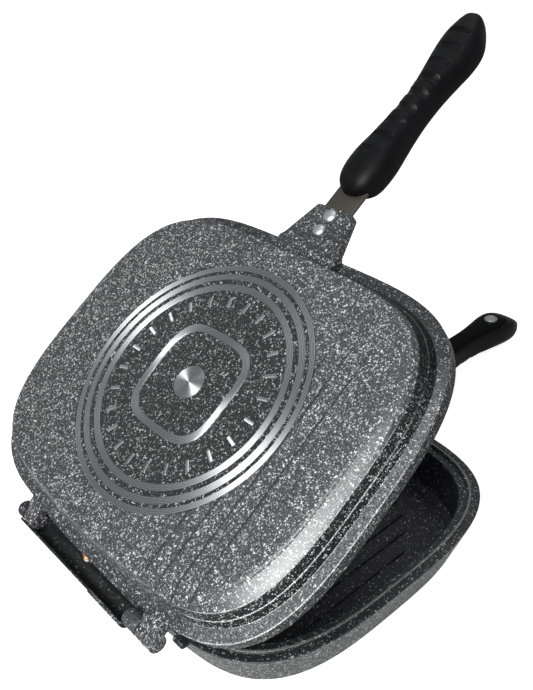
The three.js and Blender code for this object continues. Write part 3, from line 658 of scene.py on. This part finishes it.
# Heights between which the lid's wall has a thin painted highlight along an edge
LINE_HEIGHTS = ((WALL_HEIGHT - 0.1, ROUND_ABOVE), (14.9, 15.4), (9.53, 9.95))
SKIRT_TOP = 8.9
RIM_CORNER = (0.02, 0.55)  # insets of the painted highlight on the corner between skirt and flange


def lid_coat(mark, here, there):
    """The coat of the faces between two loops of the lid, from the first point of each."""
    inset = HALF_WIDTH - here[0]
    next_inset = HALF_WIDTH - there[0]
    high = (here[2] + there[2]) / 2
    if mark in ("inner", "rim"):
        return mark
    # Thin painted highlights along the wall's edges and the rim's corner
    if any(low < high < top for low, top in LINE_HEIGHTS):
        return "line"
    if RIM_CORNER[0] < next_inset < RIM_CORNER[1] and high > SKIRT_TOP - 0.1:
        return "line"
    # The flange, painted lit on its +X side and shaded on the handle side
    if FLANGE_HEIGHT - 0.1 < high < FLANGE_HEIGHT + 0.02 and 0.5 < inset < 8.2:
        return "flange"
    # The wall between flange and floor, with its painted shade
    if FLANGE_HEIGHT < high < WALL_HEIGHT and inset > 7.0:
        return "side"
    # The skirt, in painted shade on the +X and handle sides
    if high < SKIRT_TOP and inset < 0.5:
        return "skirt"
    # A band of the floor's edge that carries painted shade on the handle side
    if high > ROUND_ABOVE and WALL_INSET < inset < 18.9:
        return "edge"
    return mark


def base_coat(mark, here, _):
    """The coat of the faces between two loops of the lower shell."""
    inset = HALF_WIDTH - here[0]
    if mark == "rim":
        # The top of the ridge carries a painted highlight
        return "ridge" if 5.1 < inset < 6.2 and here[2] < -0.5 else "rim"
    if mark == "outer":
        return "rim" if here[2] < 2.2 and inset < 2.2 else "wall"
    return mark


lid_sides = (lid_outside(), broad_outside())
base_sides = (base_outside(), base_outside())
casting("lid", LID, LID_HEIGHT, lid_sides, lid_rim(), lid_coat, "upper_shell")
casting("base", BASE, BASE_HEIGHT, base_sides, base_rim(), base_coat, "lower_shell")


# Turned rings and the plain relief of the base discs

def lathe(profile, steps, closed=False):
    """Points and faces of a turned form round Z from [radius, height] points."""
    loops = []
    for radius, height in profile:
        loop = []
        for i in range(steps):
            a = 2 * math.pi * i / steps
            loop.append((radius * math.cos(a), radius * math.sin(a), height))
        loops.append(loop)
    return skin(loops, closed)[:2]


def local(points, at):
    return [(x + at[0], y + at[1], z + at[2]) for x, y, z in points]


def round_piece(name, profile, at, place, body, finish, stands_for=(), closed=False,
                steps=ROUND_STEPS):
    points, faces = lathe(profile, steps, closed)
    return piece(name, local(points, at), faces, place, body, finish, stands_for)


def on_own_origin(obj, place):
    """Moves a piece's origin to a place without moving the piece, so that its rings turn about it."""
    obj.data.transform(place.inverted())
    obj.matrix_world = place
    bpy.context.view_layer.update()


BOX_FACES = [(0, 1, 3, 2), (4, 6, 7, 5), (0, 4, 5, 1), (2, 3, 7, 6), (0, 2, 6, 4), (1, 5, 7, 3)]


def box_points(x0, x1, y0, y1, z0, z1):
    return [(x, y, z) for x in (x0, x1) for y in (y0, y1) for z in (z0, z1)]


BOSS_RADIUS = 12.0
BARS = 24
BAR_SHARES = (0.63, 0.72)  # of the disc's radius
BAR_HALF = 1.3
BAND = (34.0, 39.0)  # half widths of the rounded-square outline inside and outside
BAND_POWER = 3.6
BAND_STEPS = 128


def bars_mesh(low, height):
    points = []
    faces = []
    near, far = (DISC_RADIUS * share for share in BAR_SHARES)
    for i in range(BARS):
        turn = Matrix.Rotation(2 * math.pi * i / BARS, 4, "Z")
        for corner in box_points(near, far, -BAR_HALF, BAR_HALF, low, height):
            spot = turn @ Vector(corner)
            points.append((spot.x, spot.y + DISC_CENTRE, spot.z))
        faces += [tuple(v + 8 * i for v in face) for face in BOX_FACES]
    return points, faces


def band_mesh(low, height):
    inside, outside = BAND
    loops = []
    for half, z in ((outside, low), (outside, height), (inside, height), (inside, low)):
        loop = []
        for i in range(BAND_STEPS):
            a = 2 * math.pi * i / BAND_STEPS
            reach = abs(math.cos(a)) ** BAND_POWER + abs(math.sin(a)) ** BAND_POWER
            r = half * reach ** (-1 / BAND_POWER)
            loop.append((r * math.cos(a), DISC_CENTRE + r * math.sin(a), z))
        loops.append(loop)
    return skin(loops, True)[:2]


def disc_faces(body, place, height):
    """Rings, bars, outline and boss in bare metal on one outer floor."""
    floor = height - RING_PROUD
    low = floor - DISC_RECESS - RELIEF_ROOT
    at = (0, DISC_CENTRE, 0)
    centre, rotation, _ = (place @ Matrix.Translation(at)).decompose()
    own = Matrix.LocRotScale(centre, rotation, (1, 1, 1))
    bare = []
    for i, (outer, inner) in enumerate(RING_SHARES):
        r1 = DISC_RADIUS * outer
        r0 = DISC_RADIUS * inner
        section = [
            (r0, floor - 0.6), (r0, height - 0.25), (r0 + 0.3, height), (r1 - 0.3, height),
            (r1, height - 0.25), (r1, floor - 0.6),
        ]
        name = f"{body}_ring_{i + 1}"
        bare.append(round_piece(name, section, at, place, body, ring_metal, (), True, 192))
    r = BOSS_RADIUS
    boss = [(0.01, height), (r - 0.8, height), (r - 0.2, height - 0.3), (r, low), (0.01, low)]
    bare.append(round_piece(f"{body}_boss", boss, at, place, body, ring_metal))
    for what, mesh, bevel in (("bars", bars_mesh, 0.35), ("emblem", band_mesh, 0.4)):
        points, faces = mesh(low, height)
        name = f"{body}_{what}"
        bare.append(piece(name, points, faces, place, body, ring_metal, (), 35, None, bevel))
    for obj in bare:
        on_own_origin(obj, own)


disc_faces("lid", LID, LID_HEIGHT)
disc_faces("base", BASE, BASE_HEIGHT)


# Grill ribs on the cavity floors

# Where a rib's cross sections stand along it, and how large they are, as shares
RIB_SECTIONS = ((-1, 0.06), (-0.985, 0.75), (-0.965, 1), (0.965, 1), (0.985, 0.75), (1, 0.06))
RIB_STEPS = 8
RIB_SUNK = 0.2


def ribs(body, place, height):
    """Low ribs with rounded tops and run-out ends, ending on an oval."""
    floor = height - RING_PROUD - FLOOR_THICKNESS
    points = []
    faces = []
    for x in RIB_PLACES:
        share = (abs(x) + RIB_WIDTH / 2) / RIB_OVAL[0]
        reach = RIB_OVAL[1] * (1 - share ** RIB_POWER) ** (1 / RIB_POWER)
        loops = []
        for along, size in RIB_SECTIONS:
            wide = RIB_WIDTH / 2 * (0.55 + 0.45 * size)
            loop = []
            for k in range(RIB_STEPS + 1):
                a = math.pi * k / RIB_STEPS
                loop.append((
                    x + wide * math.cos(a),
                    SHELL_CENTRE + along * reach,
                    floor + RIB_SUNK - (RIB_HEIGHT * size + RIB_SUNK) * math.sin(a) ** 0.75,
                ))
            loops.append(loop)
        p, f, _ = skin(loops)
        faces += [tuple(v + len(points) for v in face) for face in f]
        points += p
    return piece(f"{body}_ribs", points, faces, place, body, coat_inner, (), 50)


ribs("lid", LID, LID_HEIGHT)
ribs("base", BASE, BASE_HEIGHT)


# Hinge

def prism(outline, start, stop, axis="X"):
    """Points and faces of a prism on an outline, along X from [y, z] or along Z from [x, y]."""
    points = []
    for end in (start, stop):
        for a, b in outline:
            points.append((end, a, b) if axis == "X" else (a, b, end))
    count = len(outline)
    faces = [tuple(range(count)), tuple(range(2 * count - 1, count - 1, -1))]
    for i in range(count):
        nxt = (i + 1) % count
        faces.append((i, nxt, nxt + count, i + count))
    return points, faces


def arc(radius, start, stop, steps, y=0.0, z=0.0):
    out = []
    for k in range(steps + 1):
        a = math.radians(start + (stop - start) * k / steps)
        out.append((y + radius * math.cos(a), z + radius * math.sin(a)))
    return out


PARTING = 0.3  # how far each shell's metal stays from the plane between them
DEEP_ROOT = HINGE_ROOT + 4
ARC_STEPS = 44


def lug_outline(grow=0.0):
    radius = LUG_RADIUS + grow
    low = PARTING - grow
    high = FLANGE_HEIGHT + grow
    first = math.degrees(math.asin(low / radius))
    back = arc(radius, first, -290.5, ARC_STEPS)
    return [(HINGE_ROOT, low)] + back + [(RIM_TO_AXIS + 0.9, high), (HINGE_ROOT, high)]


def knuckle_outline(radius):
    return [(DEEP_ROOT, -radius)] + arc(radius, -90, -357, ARC_STEPS) + [(DEEP_ROOT, -PARTING)]


def trough_outline(outer, inner):
    wall = arc(outer, 182, 270, 24)
    bed = arc(inner, -3, -177, 40)
    web = [(DEEP_ROOT, -outer), (DEEP_ROOT, -2.5), (HINGE_ROOT, -2.5), (HINGE_ROOT, -PARTING)]
    return wall + web + bed


SEAM_PROUD = 0.3
SEAM_HALF = 0.45

for side, start, width in (("left", -72.0, 13.0), ("right", 69.5, 16.5)):
    points, faces = prism(lug_outline(), start, start + width)
    piece(f"lid_lug_{side}", points, faces, LID, "lid", coat_outer, (), 30, None, 1.0)
    middle = start + width / 2
    points, faces = prism(lug_outline(SEAM_PROUD), middle - SEAM_HALF, middle + SEAM_HALF)
    piece(f"lid_lug_seam_{side}", points, faces, LID, "lid", coat_highlight_line, (), 30, None, 0.15)

for side, start, stop, coat in (("left", -80.5, -73.0, coat_rim), ("right", 54.5, 68.5, coat_plain)):
    points, faces = prism(knuckle_outline(LUG_RADIUS), start, stop)
    piece(f"base_knuckle_{side}", points, faces, HINGE, "base", coat, (), 30, None, 0.8)

dome = [(6.0, -1.0), (6.0, 0.0), (5.6, 0.9), (4.7, 1.6), (3.0, 2.2), (1.2, 2.5), (0.01, 2.5)]
points, faces = lathe(dome, 48)
turned_dome = [(-80.0 - z, y, x) for x, y, z in points]
piece("base_knuckle_end", turned_dome, faces, HINGE, "base", coat_rim)


TROUGH_BED = 6.3


def trough(name, start, stop, outer, coat):
    points, faces = prism(trough_outline(outer, TROUGH_BED), start, stop)
    paint = []
    for face in faces:
        centre = sum((Vector(points[i]) for i in face), Vector()) / len(face)
        on_bed = math.hypot(centre.y, centre.z) < TROUGH_BED + 0.3 and centre.z < -PARTING - 0.01
        paint.append(int(on_bed))
    finishes = [coat, coat_trough]
    piece(name, points, faces, HINGE, "base", finishes, (), 30, paint, 0.35)


trough("base_trough", -74.0, 19.0, 7.8, coat_rim)
trough("base_trough_thick", 18.0, 55.5, 8.6, coat_outer)

NUB_SPAN = (87.2, 96.2)
NUB_RADIUS = 2.3
NUB_AT = (RIM_TO_AXIS + 2.9, -1.1)
nub = arc(NUB_RADIUS, -90, 270, 32, *NUB_AT)[:-1]
points, faces = prism(nub, *NUB_SPAN)
piece("base_nub", points, faces, HINGE, "base", coat_rim, (), 40, None, 0.7)
low = NUB_AT[1] - NUB_RADIUS
web = [(NUB_AT[0], low), (DEEP_ROOT, low), (DEEP_ROOT, -PARTING), (NUB_AT[0], -PARTING)]
points, faces = prism(web, *NUB_SPAN)
piece("base_nub_web", points, faces, HINGE, "base", coat_rim, (), 40, None, 0.4)


# Handles

def tab_outline():
    corners = [
        (-29.5, RIM_END - 11), (29.5, RIM_END - 11), (29.5, RIM_END), (27, RIM_END + 3),
        (17, TAB_END), (-17, TAB_END), (-27, RIM_END + 3), (-29.5, RIM_END),
    ]
    return rounded(corners, [0, 0, 2, 3, 3, 3, 3, 2], 5, True)


def tang_outline():
    start = RIM_END + 2.5
    narrow = RIM_END + 70
    end = RIM_END + 138
    corners = [
        (-13, start), (13, start), (13, narrow), (9, narrow + 14),
        (9, end), (-9, end), (-9, narrow + 14), (-13, narrow),
    ]
    return rounded(corners, [0, 0, 6, 6, 2, 2, 6, 6], 4, True)


# Along the grip: place, half width, crown and inner face, as shares of its length, width and height
STATIONS = [
    (0.0, 0.0, 0.48, 0.48), (0.008, 0.36, 0.66, 0.32), (0.025, 0.62, 0.78, 0.19), (0.05, 0.82, 0.87, 0.09),
    (0.085, 0.94, 0.93, 0.02), (0.14, 1, 0.96, 0), (0.21, 0.98, 0.95, 0), (0.28, 0.87, 0.92, 0),
    (0.36, 0.75, 0.91, 0), (0.45, 0.66, 0.90, 0), (0.54, 0.65, 0.90, 0), (0.62, 0.71, 0.91, 0),
    (0.70, 0.83, 0.94, 0), (0.77, 0.94, 0.96, 0), (0.83, 0.97, 0.99, 0.02), (0.88, 0.93, 1, 0.09),
    (0.925, 0.77, 1, 0.21), (0.96, 0.59, 0.99, 0.36), (0.985, 0.37, 0.94, 0.51), (1.0, 0.0, 0.75, 0.75),
]
STATION_SLACK = 0.03  # how far the curve may pass the stations beside it
NOTCH_FIRST = 32.0
NOTCH_PITCH = 13.8
NOTCHES = 9
NOTCH_DEEP = 1.9
NOTCH_HALF = 3.6
NOTCH_EDGE = (7.5, 9.5)  # between these places across the grip a notch fades out
GRIP_STEPS = 56
GRIP_ROWS = 330
GRIP_END = 0.03  # the share at either end where the rows crowd
END_ROWS = 14
TIP_SHARES = (0.008, 0.985)  # outside these the ends are round
TIP_WIDTHS = (0.36, 0.37)


def smooth_station(share):
    """Width, crown and inner face shares at a place along the grip, on a smooth curve."""
    for k in range(len(STATIONS) - 1):
        if share <= STATIONS[k + 1][0]:
            break
    p1 = STATIONS[k]
    p2 = STATIONS[k + 1]
    p0 = STATIONS[max(k - 1, 0)]
    p3 = STATIONS[min(k + 2, len(STATIONS) - 1)]
    span = p2[0] - p1[0]
    t = (share - p1[0]) / span
    h = ((1 + 2 * t) * (1 - t) ** 2, t * (1 - t) ** 2, t * t * (3 - 2 * t), t * t * (t - 1))
    out = []
    for j in (1, 2, 3):
        slope1 = (p2[j] - p0[j]) / max(p2[0] - p0[0], 1e-6) * span
        slope2 = (p3[j] - p1[j]) / max(p3[0] - p1[0], 1e-6) * span
        value = h[0] * p1[j] + h[1] * slope1 + h[2] * p2[j] + h[3] * slope2
        lower = min(p1[j], p2[j]) - STATION_SLACK
        upper = max(p1[j], p2[j]) + STATION_SLACK
        out.append(max(lower, min(upper, value)))
    return out


def grip_mesh():
    """Points and faces of a grip, with its rows closer together at the ends."""
    crowded = [max(GRIP_END * (k / END_ROWS) ** 2, 0.0004) for k in range(1, END_ROWS)]
    even = [i / GRIP_ROWS for i in range(GRIP_ROWS + 1) if GRIP_END <= i / GRIP_ROWS <= 1 - GRIP_END]
    loops = []
    for share in crowded + even + [1 - e for e in reversed(crowded)]:
        width, crown_share, inner_share = smooth_station(share)
        if share < TIP_SHARES[0]:
            width = TIP_WIDTHS[0] * math.sqrt(share / TIP_SHARES[0])
        if share > TIP_SHARES[1]:
            width = TIP_WIDTHS[1] * math.sqrt((1 - share) / 0.015)
        half = GRIP_HALF * width
        crown = GRIP_CROWN * crown_share
        inner = min(GRIP_INNER + GRIP_CROWN * inner_share, crown - 0.2)
        middle = inner + (crown - inner) * 0.42
        along = share * GRIP_LENGTH
        loop = []
        for j in range(GRIP_STEPS):
            a = 2 * math.pi * j / GRIP_STEPS
            c = math.cos(a)
            s = math.sin(a)
            x = half * math.copysign(abs(c) ** 0.7, c)
            if s >= 0:
                z = notch(x, along, middle + (crown - middle) * s ** 0.85)
            else:
                z = middle - (middle - inner) * abs(s) ** 0.45
            loop.append((x, GRIP_FROM + along, z))
        loops.append(loop)
    return skin(loops)[:2]


def notch(x, along, z):
    """Lowers the crown where a grip notch is cut across it."""
    place = (along - NOTCH_FIRST) / NOTCH_PITCH
    nearest = min(max(round(place), 0), NOTCHES - 1)
    away = abs(along - NOTCH_FIRST - nearest * NOTCH_PITCH)
    side = abs(x)
    full, none = NOTCH_EDGE
    if away >= NOTCH_HALF or side > none:
        return z
    deep = NOTCH_DEEP * max(0.0, 1 - (away / NOTCH_HALF) ** 2) ** 0.7
    fade = 1.0 if side < full else max(0.0, (none - side) / (none - full))
    return z - deep * fade


TAB_SPAN = (9.0, 16.3)
TANG_SPAN = (11.5, 14.0)
RIVET_HEADS = (4.9, 5.3)
HEAD_FOOT = TAB_SPAN[1] + 0.3
DOME_STEPS = 8
ENDS = ("inner", "outer")


def rivet_profile(head):
    """Shank, closing head below and domed head above, as [radius, height]."""
    profile = [(0.01, 6.9), (3.4, 7.0), (3.9, 7.5), (4.0, 8.7), (2.6, 8.9), (2.6, 16.2), (head, 16.2)]
    profile.append((head, HEAD_FOOT))
    for k in range(1, DOME_STEPS + 1):
        a = math.pi / 2 * k / DOME_STEPS
        profile.append((max(head * math.cos(a), 0.01), HEAD_FOOT + 2.5 * math.sin(a)))
    return profile


SCREW = [(0.01, 2.15), (2.9, 2.2), (3.6, 2.7), (3.7, 4.6), (2.0, 4.8), (2.0, 19.0), (0.01, 19.4)]
MAGNET = [(0.01, MAGNET_FACE), (4.2, MAGNET_FACE), (4.7, MAGNET_FACE + 0.4), (4.7, 4.5), (0.01, 4.5)]
MAGNET_CUP = [
    (5.0, MAGNET_FACE + 0.2), (5.2, MAGNET_FACE), (5.7, MAGNET_FACE), (5.9, MAGNET_FACE + 0.2),
    (5.9, 5.5), (5.0, 5.5),
]


def handle(side, body, place):
    """Tab, tang, rivets, grip, magnet and screws of one handle."""
    points, faces = prism(tab_outline(), *TAB_SPAN, "Z")
    piece(f"{side}_tab", points, faces, place, body, coat_tab, (), 30, None, 0.9)
    points, faces = prism(tang_outline(), *TANG_SPAN, "Z")
    named = [f"{side}_tang"]
    piece(f"{side}_tang_plate", points, faces, place, body, tang_metal, named, 30, None, 0.35)
    for end, y, head in zip(ENDS, RIVET_PLACES, RIVET_HEADS):
        profile = rivet_profile(head)
        named = [f"{side}_rivet_{end}"]
        round_piece(f"{side}_rivet_{end}_head", profile, (0, y, 0), place, body, rivet_metal, named)
    points, faces = grip_mesh()
    flat = [int(max(points[v][2] for v in face) < GRIP_INNER + 2) for face in faces]
    coats = [grip_black, grip_flat]
    piece(f"{side}_grip_moulding", points, faces, place, body, coats, [f"{side}_grip"], 30, flat)
    at = (0, MAGNET_PLACE, 0)
    round_piece(f"{side}_magnet_disc", MAGNET, at, place, body, magnet_metal, [f"{side}_magnet"])
    named = [f"{side}_magnet_cup"]
    round_piece(f"{side}_magnet_ring", MAGNET_CUP, at, place, body, magnet_metal, named, True)
    for end, y in zip(ENDS, SCREW_PLACES):
        named = [f"{side}_grip_screw_{end}"]
        round_piece(f"{side}_screw_{end}", SCREW, (0, y, 0), place, body, steel, named)


handle("upper", "lid", LID_HANDLE)
handle("lower", "base", BASE_HANDLE)


# Gasket and stud

gasket = rounded([(4.3, 1.4), (8.1, 1.4), (8.1, 4.3), (4.3, 4.3)], [0.4, 0.4, 0.1, 0.1], 4, True)
points, faces, _ = skin([rim_loop(i, z) for i, z in gasket], True)
piece("lid_gasket", points, faces, LID, "lid", silicone, ["rim_gasket"], 40)

STUD_X = 2.0
STUD_FACE = RIM_TO_AXIS - 0.1


def facing_hinge(profile, height, closed=False):
    """A turned form that stands out from the lid's hinge side at a height."""
    points, faces = lathe(profile, 40, closed)
    return [(STUD_X + x, STUD_FACE - z, height + y) for x, y, z in points], faces


stud = [(0.01, 3.6), (1.4, 3.4), (2.7, 2.6), (3.5, 1.4), (3.8, 0.2), (3.8, -0.2), (1.5, -0.3), (1.5, -4)]
stud.append((0.01, -4))
points, faces = facing_hinge(stud, 3.6)
piece("lid_stud", points, faces, LID, "lid", stud_metal, ["hinge_stud"])
collar = [(3.7, 0.7), (4.2, 1.1), (4.6, 0.6), (4.6, -0.3), (3.7, -0.3)]
points, faces = facing_hinge(collar, 4.3, True)
piece("lid_stud_collar", points, faces, LID, "lid", copper)


# The frame's own pieces that still show

for name, obj in nodes.items():
    material = brass if "insert" in name else steel
    obj.data.materials.clear()
    obj.data.materials.append(material)


# Floor, light and camera

def stage_plane(name, half, material):
    mesh = bpy.data.meshes.new(name)
    corners = [(-half, -half, 0), (half, -half, 0), (half, half, 0), (-half, half, 0)]
    mesh.from_pydata(corners, [], [(0, 1, 2, 3)])
    mesh.materials.append(material)
    obj = bpy.data.objects.new(name, mesh)
    scene.collection.objects.link(obj)


def floor_material():
    """White to the camera, and a plain pale floor to everything else."""
    material = bpy.data.materials.new("floor_white")
    material.use_nodes = True
    tree = material.node_tree
    shader = tree.nodes["Principled BSDF"]
    shader.inputs["Base Color"].default_value = (0.86, 0.86, 0.86, 1)
    shader.inputs["Roughness"].default_value = 0.9
    glow = tree.nodes.new("ShaderNodeEmission")
    glow.inputs["Strength"].default_value = 0.85
    ray = tree.nodes.new("ShaderNodeLightPath")
    add = tree.nodes.new("ShaderNodeAddShader")
    mix = tree.nodes.new("ShaderNodeMixShader")
    out = tree.nodes["Material Output"]
    tree.links.new(shader.outputs[0], add.inputs[0])
    tree.links.new(glow.outputs[0], add.inputs[1])
    tree.links.new(ray.outputs["Is Camera Ray"], mix.inputs[0])
    tree.links.new(shader.outputs[0], mix.inputs[1])
    tree.links.new(add.outputs[0], mix.inputs[2])
    tree.links.new(mix.outputs[0], out.inputs["Surface"])
    return material


stage_plane("floor", 6.0, floor_material())

COOL_WHITE = (0.97, 0.985, 1.0, 1)


def studio_world():
    """Soft light all round, a brighter wall in gloss, and plain white to the camera."""
    world = bpy.data.worlds.new("studio")
    world.use_nodes = True
    tree = world.node_tree
    soft = tree.nodes["Background"]
    gloss = tree.nodes.new("ShaderNodeBackground")
    white = tree.nodes.new("ShaderNodeBackground")
    levels = ((soft, COOL_WHITE, 0.2), (gloss, COOL_WHITE, 0.5), (white, (1, 1, 1, 1), 1))
    for node, colour, strength in levels:
        node.inputs["Color"].default_value = colour
        node.inputs["Strength"].default_value = strength
    ray = tree.nodes.new("ShaderNodeLightPath")
    below = soft
    for kind, above in (("Is Glossy Ray", gloss), ("Is Camera Ray", white)):
        mix = tree.nodes.new("ShaderNodeMixShader")
        tree.links.new(ray.outputs[kind], mix.inputs[0])
        tree.links.new(below.outputs[0], mix.inputs[1])
        tree.links.new(above.outputs[0], mix.inputs[2])
        below = mix
    tree.links.new(below.outputs[0], tree.nodes["World Output"].inputs["Surface"])
    return world


scene.world = studio_world()


def lamp(name, at, target, size, power):
    light = bpy.data.lights.new(name, "AREA")
    light.shape = "RECTANGLE"
    light.size, light.size_y = size
    light.energy = power
    obj = bpy.data.objects.new(name, light)
    obj.location = at
    aim = Vector(target) - Vector(at)
    obj.rotation_euler = aim.to_track_quat("-Z", "Y").to_euler()
    scene.collection.objects.link(obj)
    return obj


# The glint lamp stands beside the key and is seen in gloss alone, as a bare strobe's reflection is
MIDDLE = (0.0, 0.0, 0.08)
lamp("key", (0.52, -1.05, 0.98), MIDDLE, (0.75, 0.75), 17)
glint = lamp("glint", (0.58, -1.04, 1.0), MIDDLE, (0.85, 0.85), 38)
glint.visible_diffuse = False
lamp("top", (-0.2, 0.5, 1.6), MIDDLE, (1.0, 1.0), 4)

# Camera at the photograph's place: where it stands, where it looks, and its right, square to that
CAMERA_AT = (0.3876, -0.2712, 0.4380)
LOOK = Vector((-0.6321, 0.5363, -0.5593)).normalized()
ASKEW = Vector((0.6733, 0.7374, -0.0538))
RIGHT = (ASKEW - LOOK * ASKEW.dot(LOOK)).normalized()
UP = RIGHT.cross(LOOK)
lens = bpy.data.cameras.new("camera")
lens.sensor_width = 36.0
lens.lens = 43.37
lens.shift_x = -0.0470
lens.shift_y = 0.0437
lens.clip_start = 0.01
camera = bpy.data.objects.new("camera", lens)
turn = Matrix((RIGHT, UP, -LOOK)).transposed().to_4x4()
camera.matrix_world = Matrix.Translation(CAMERA_AT) @ turn
scene.collection.objects.link(camera)
scene.camera = camera
scene.view_settings.view_transform = "Standard"
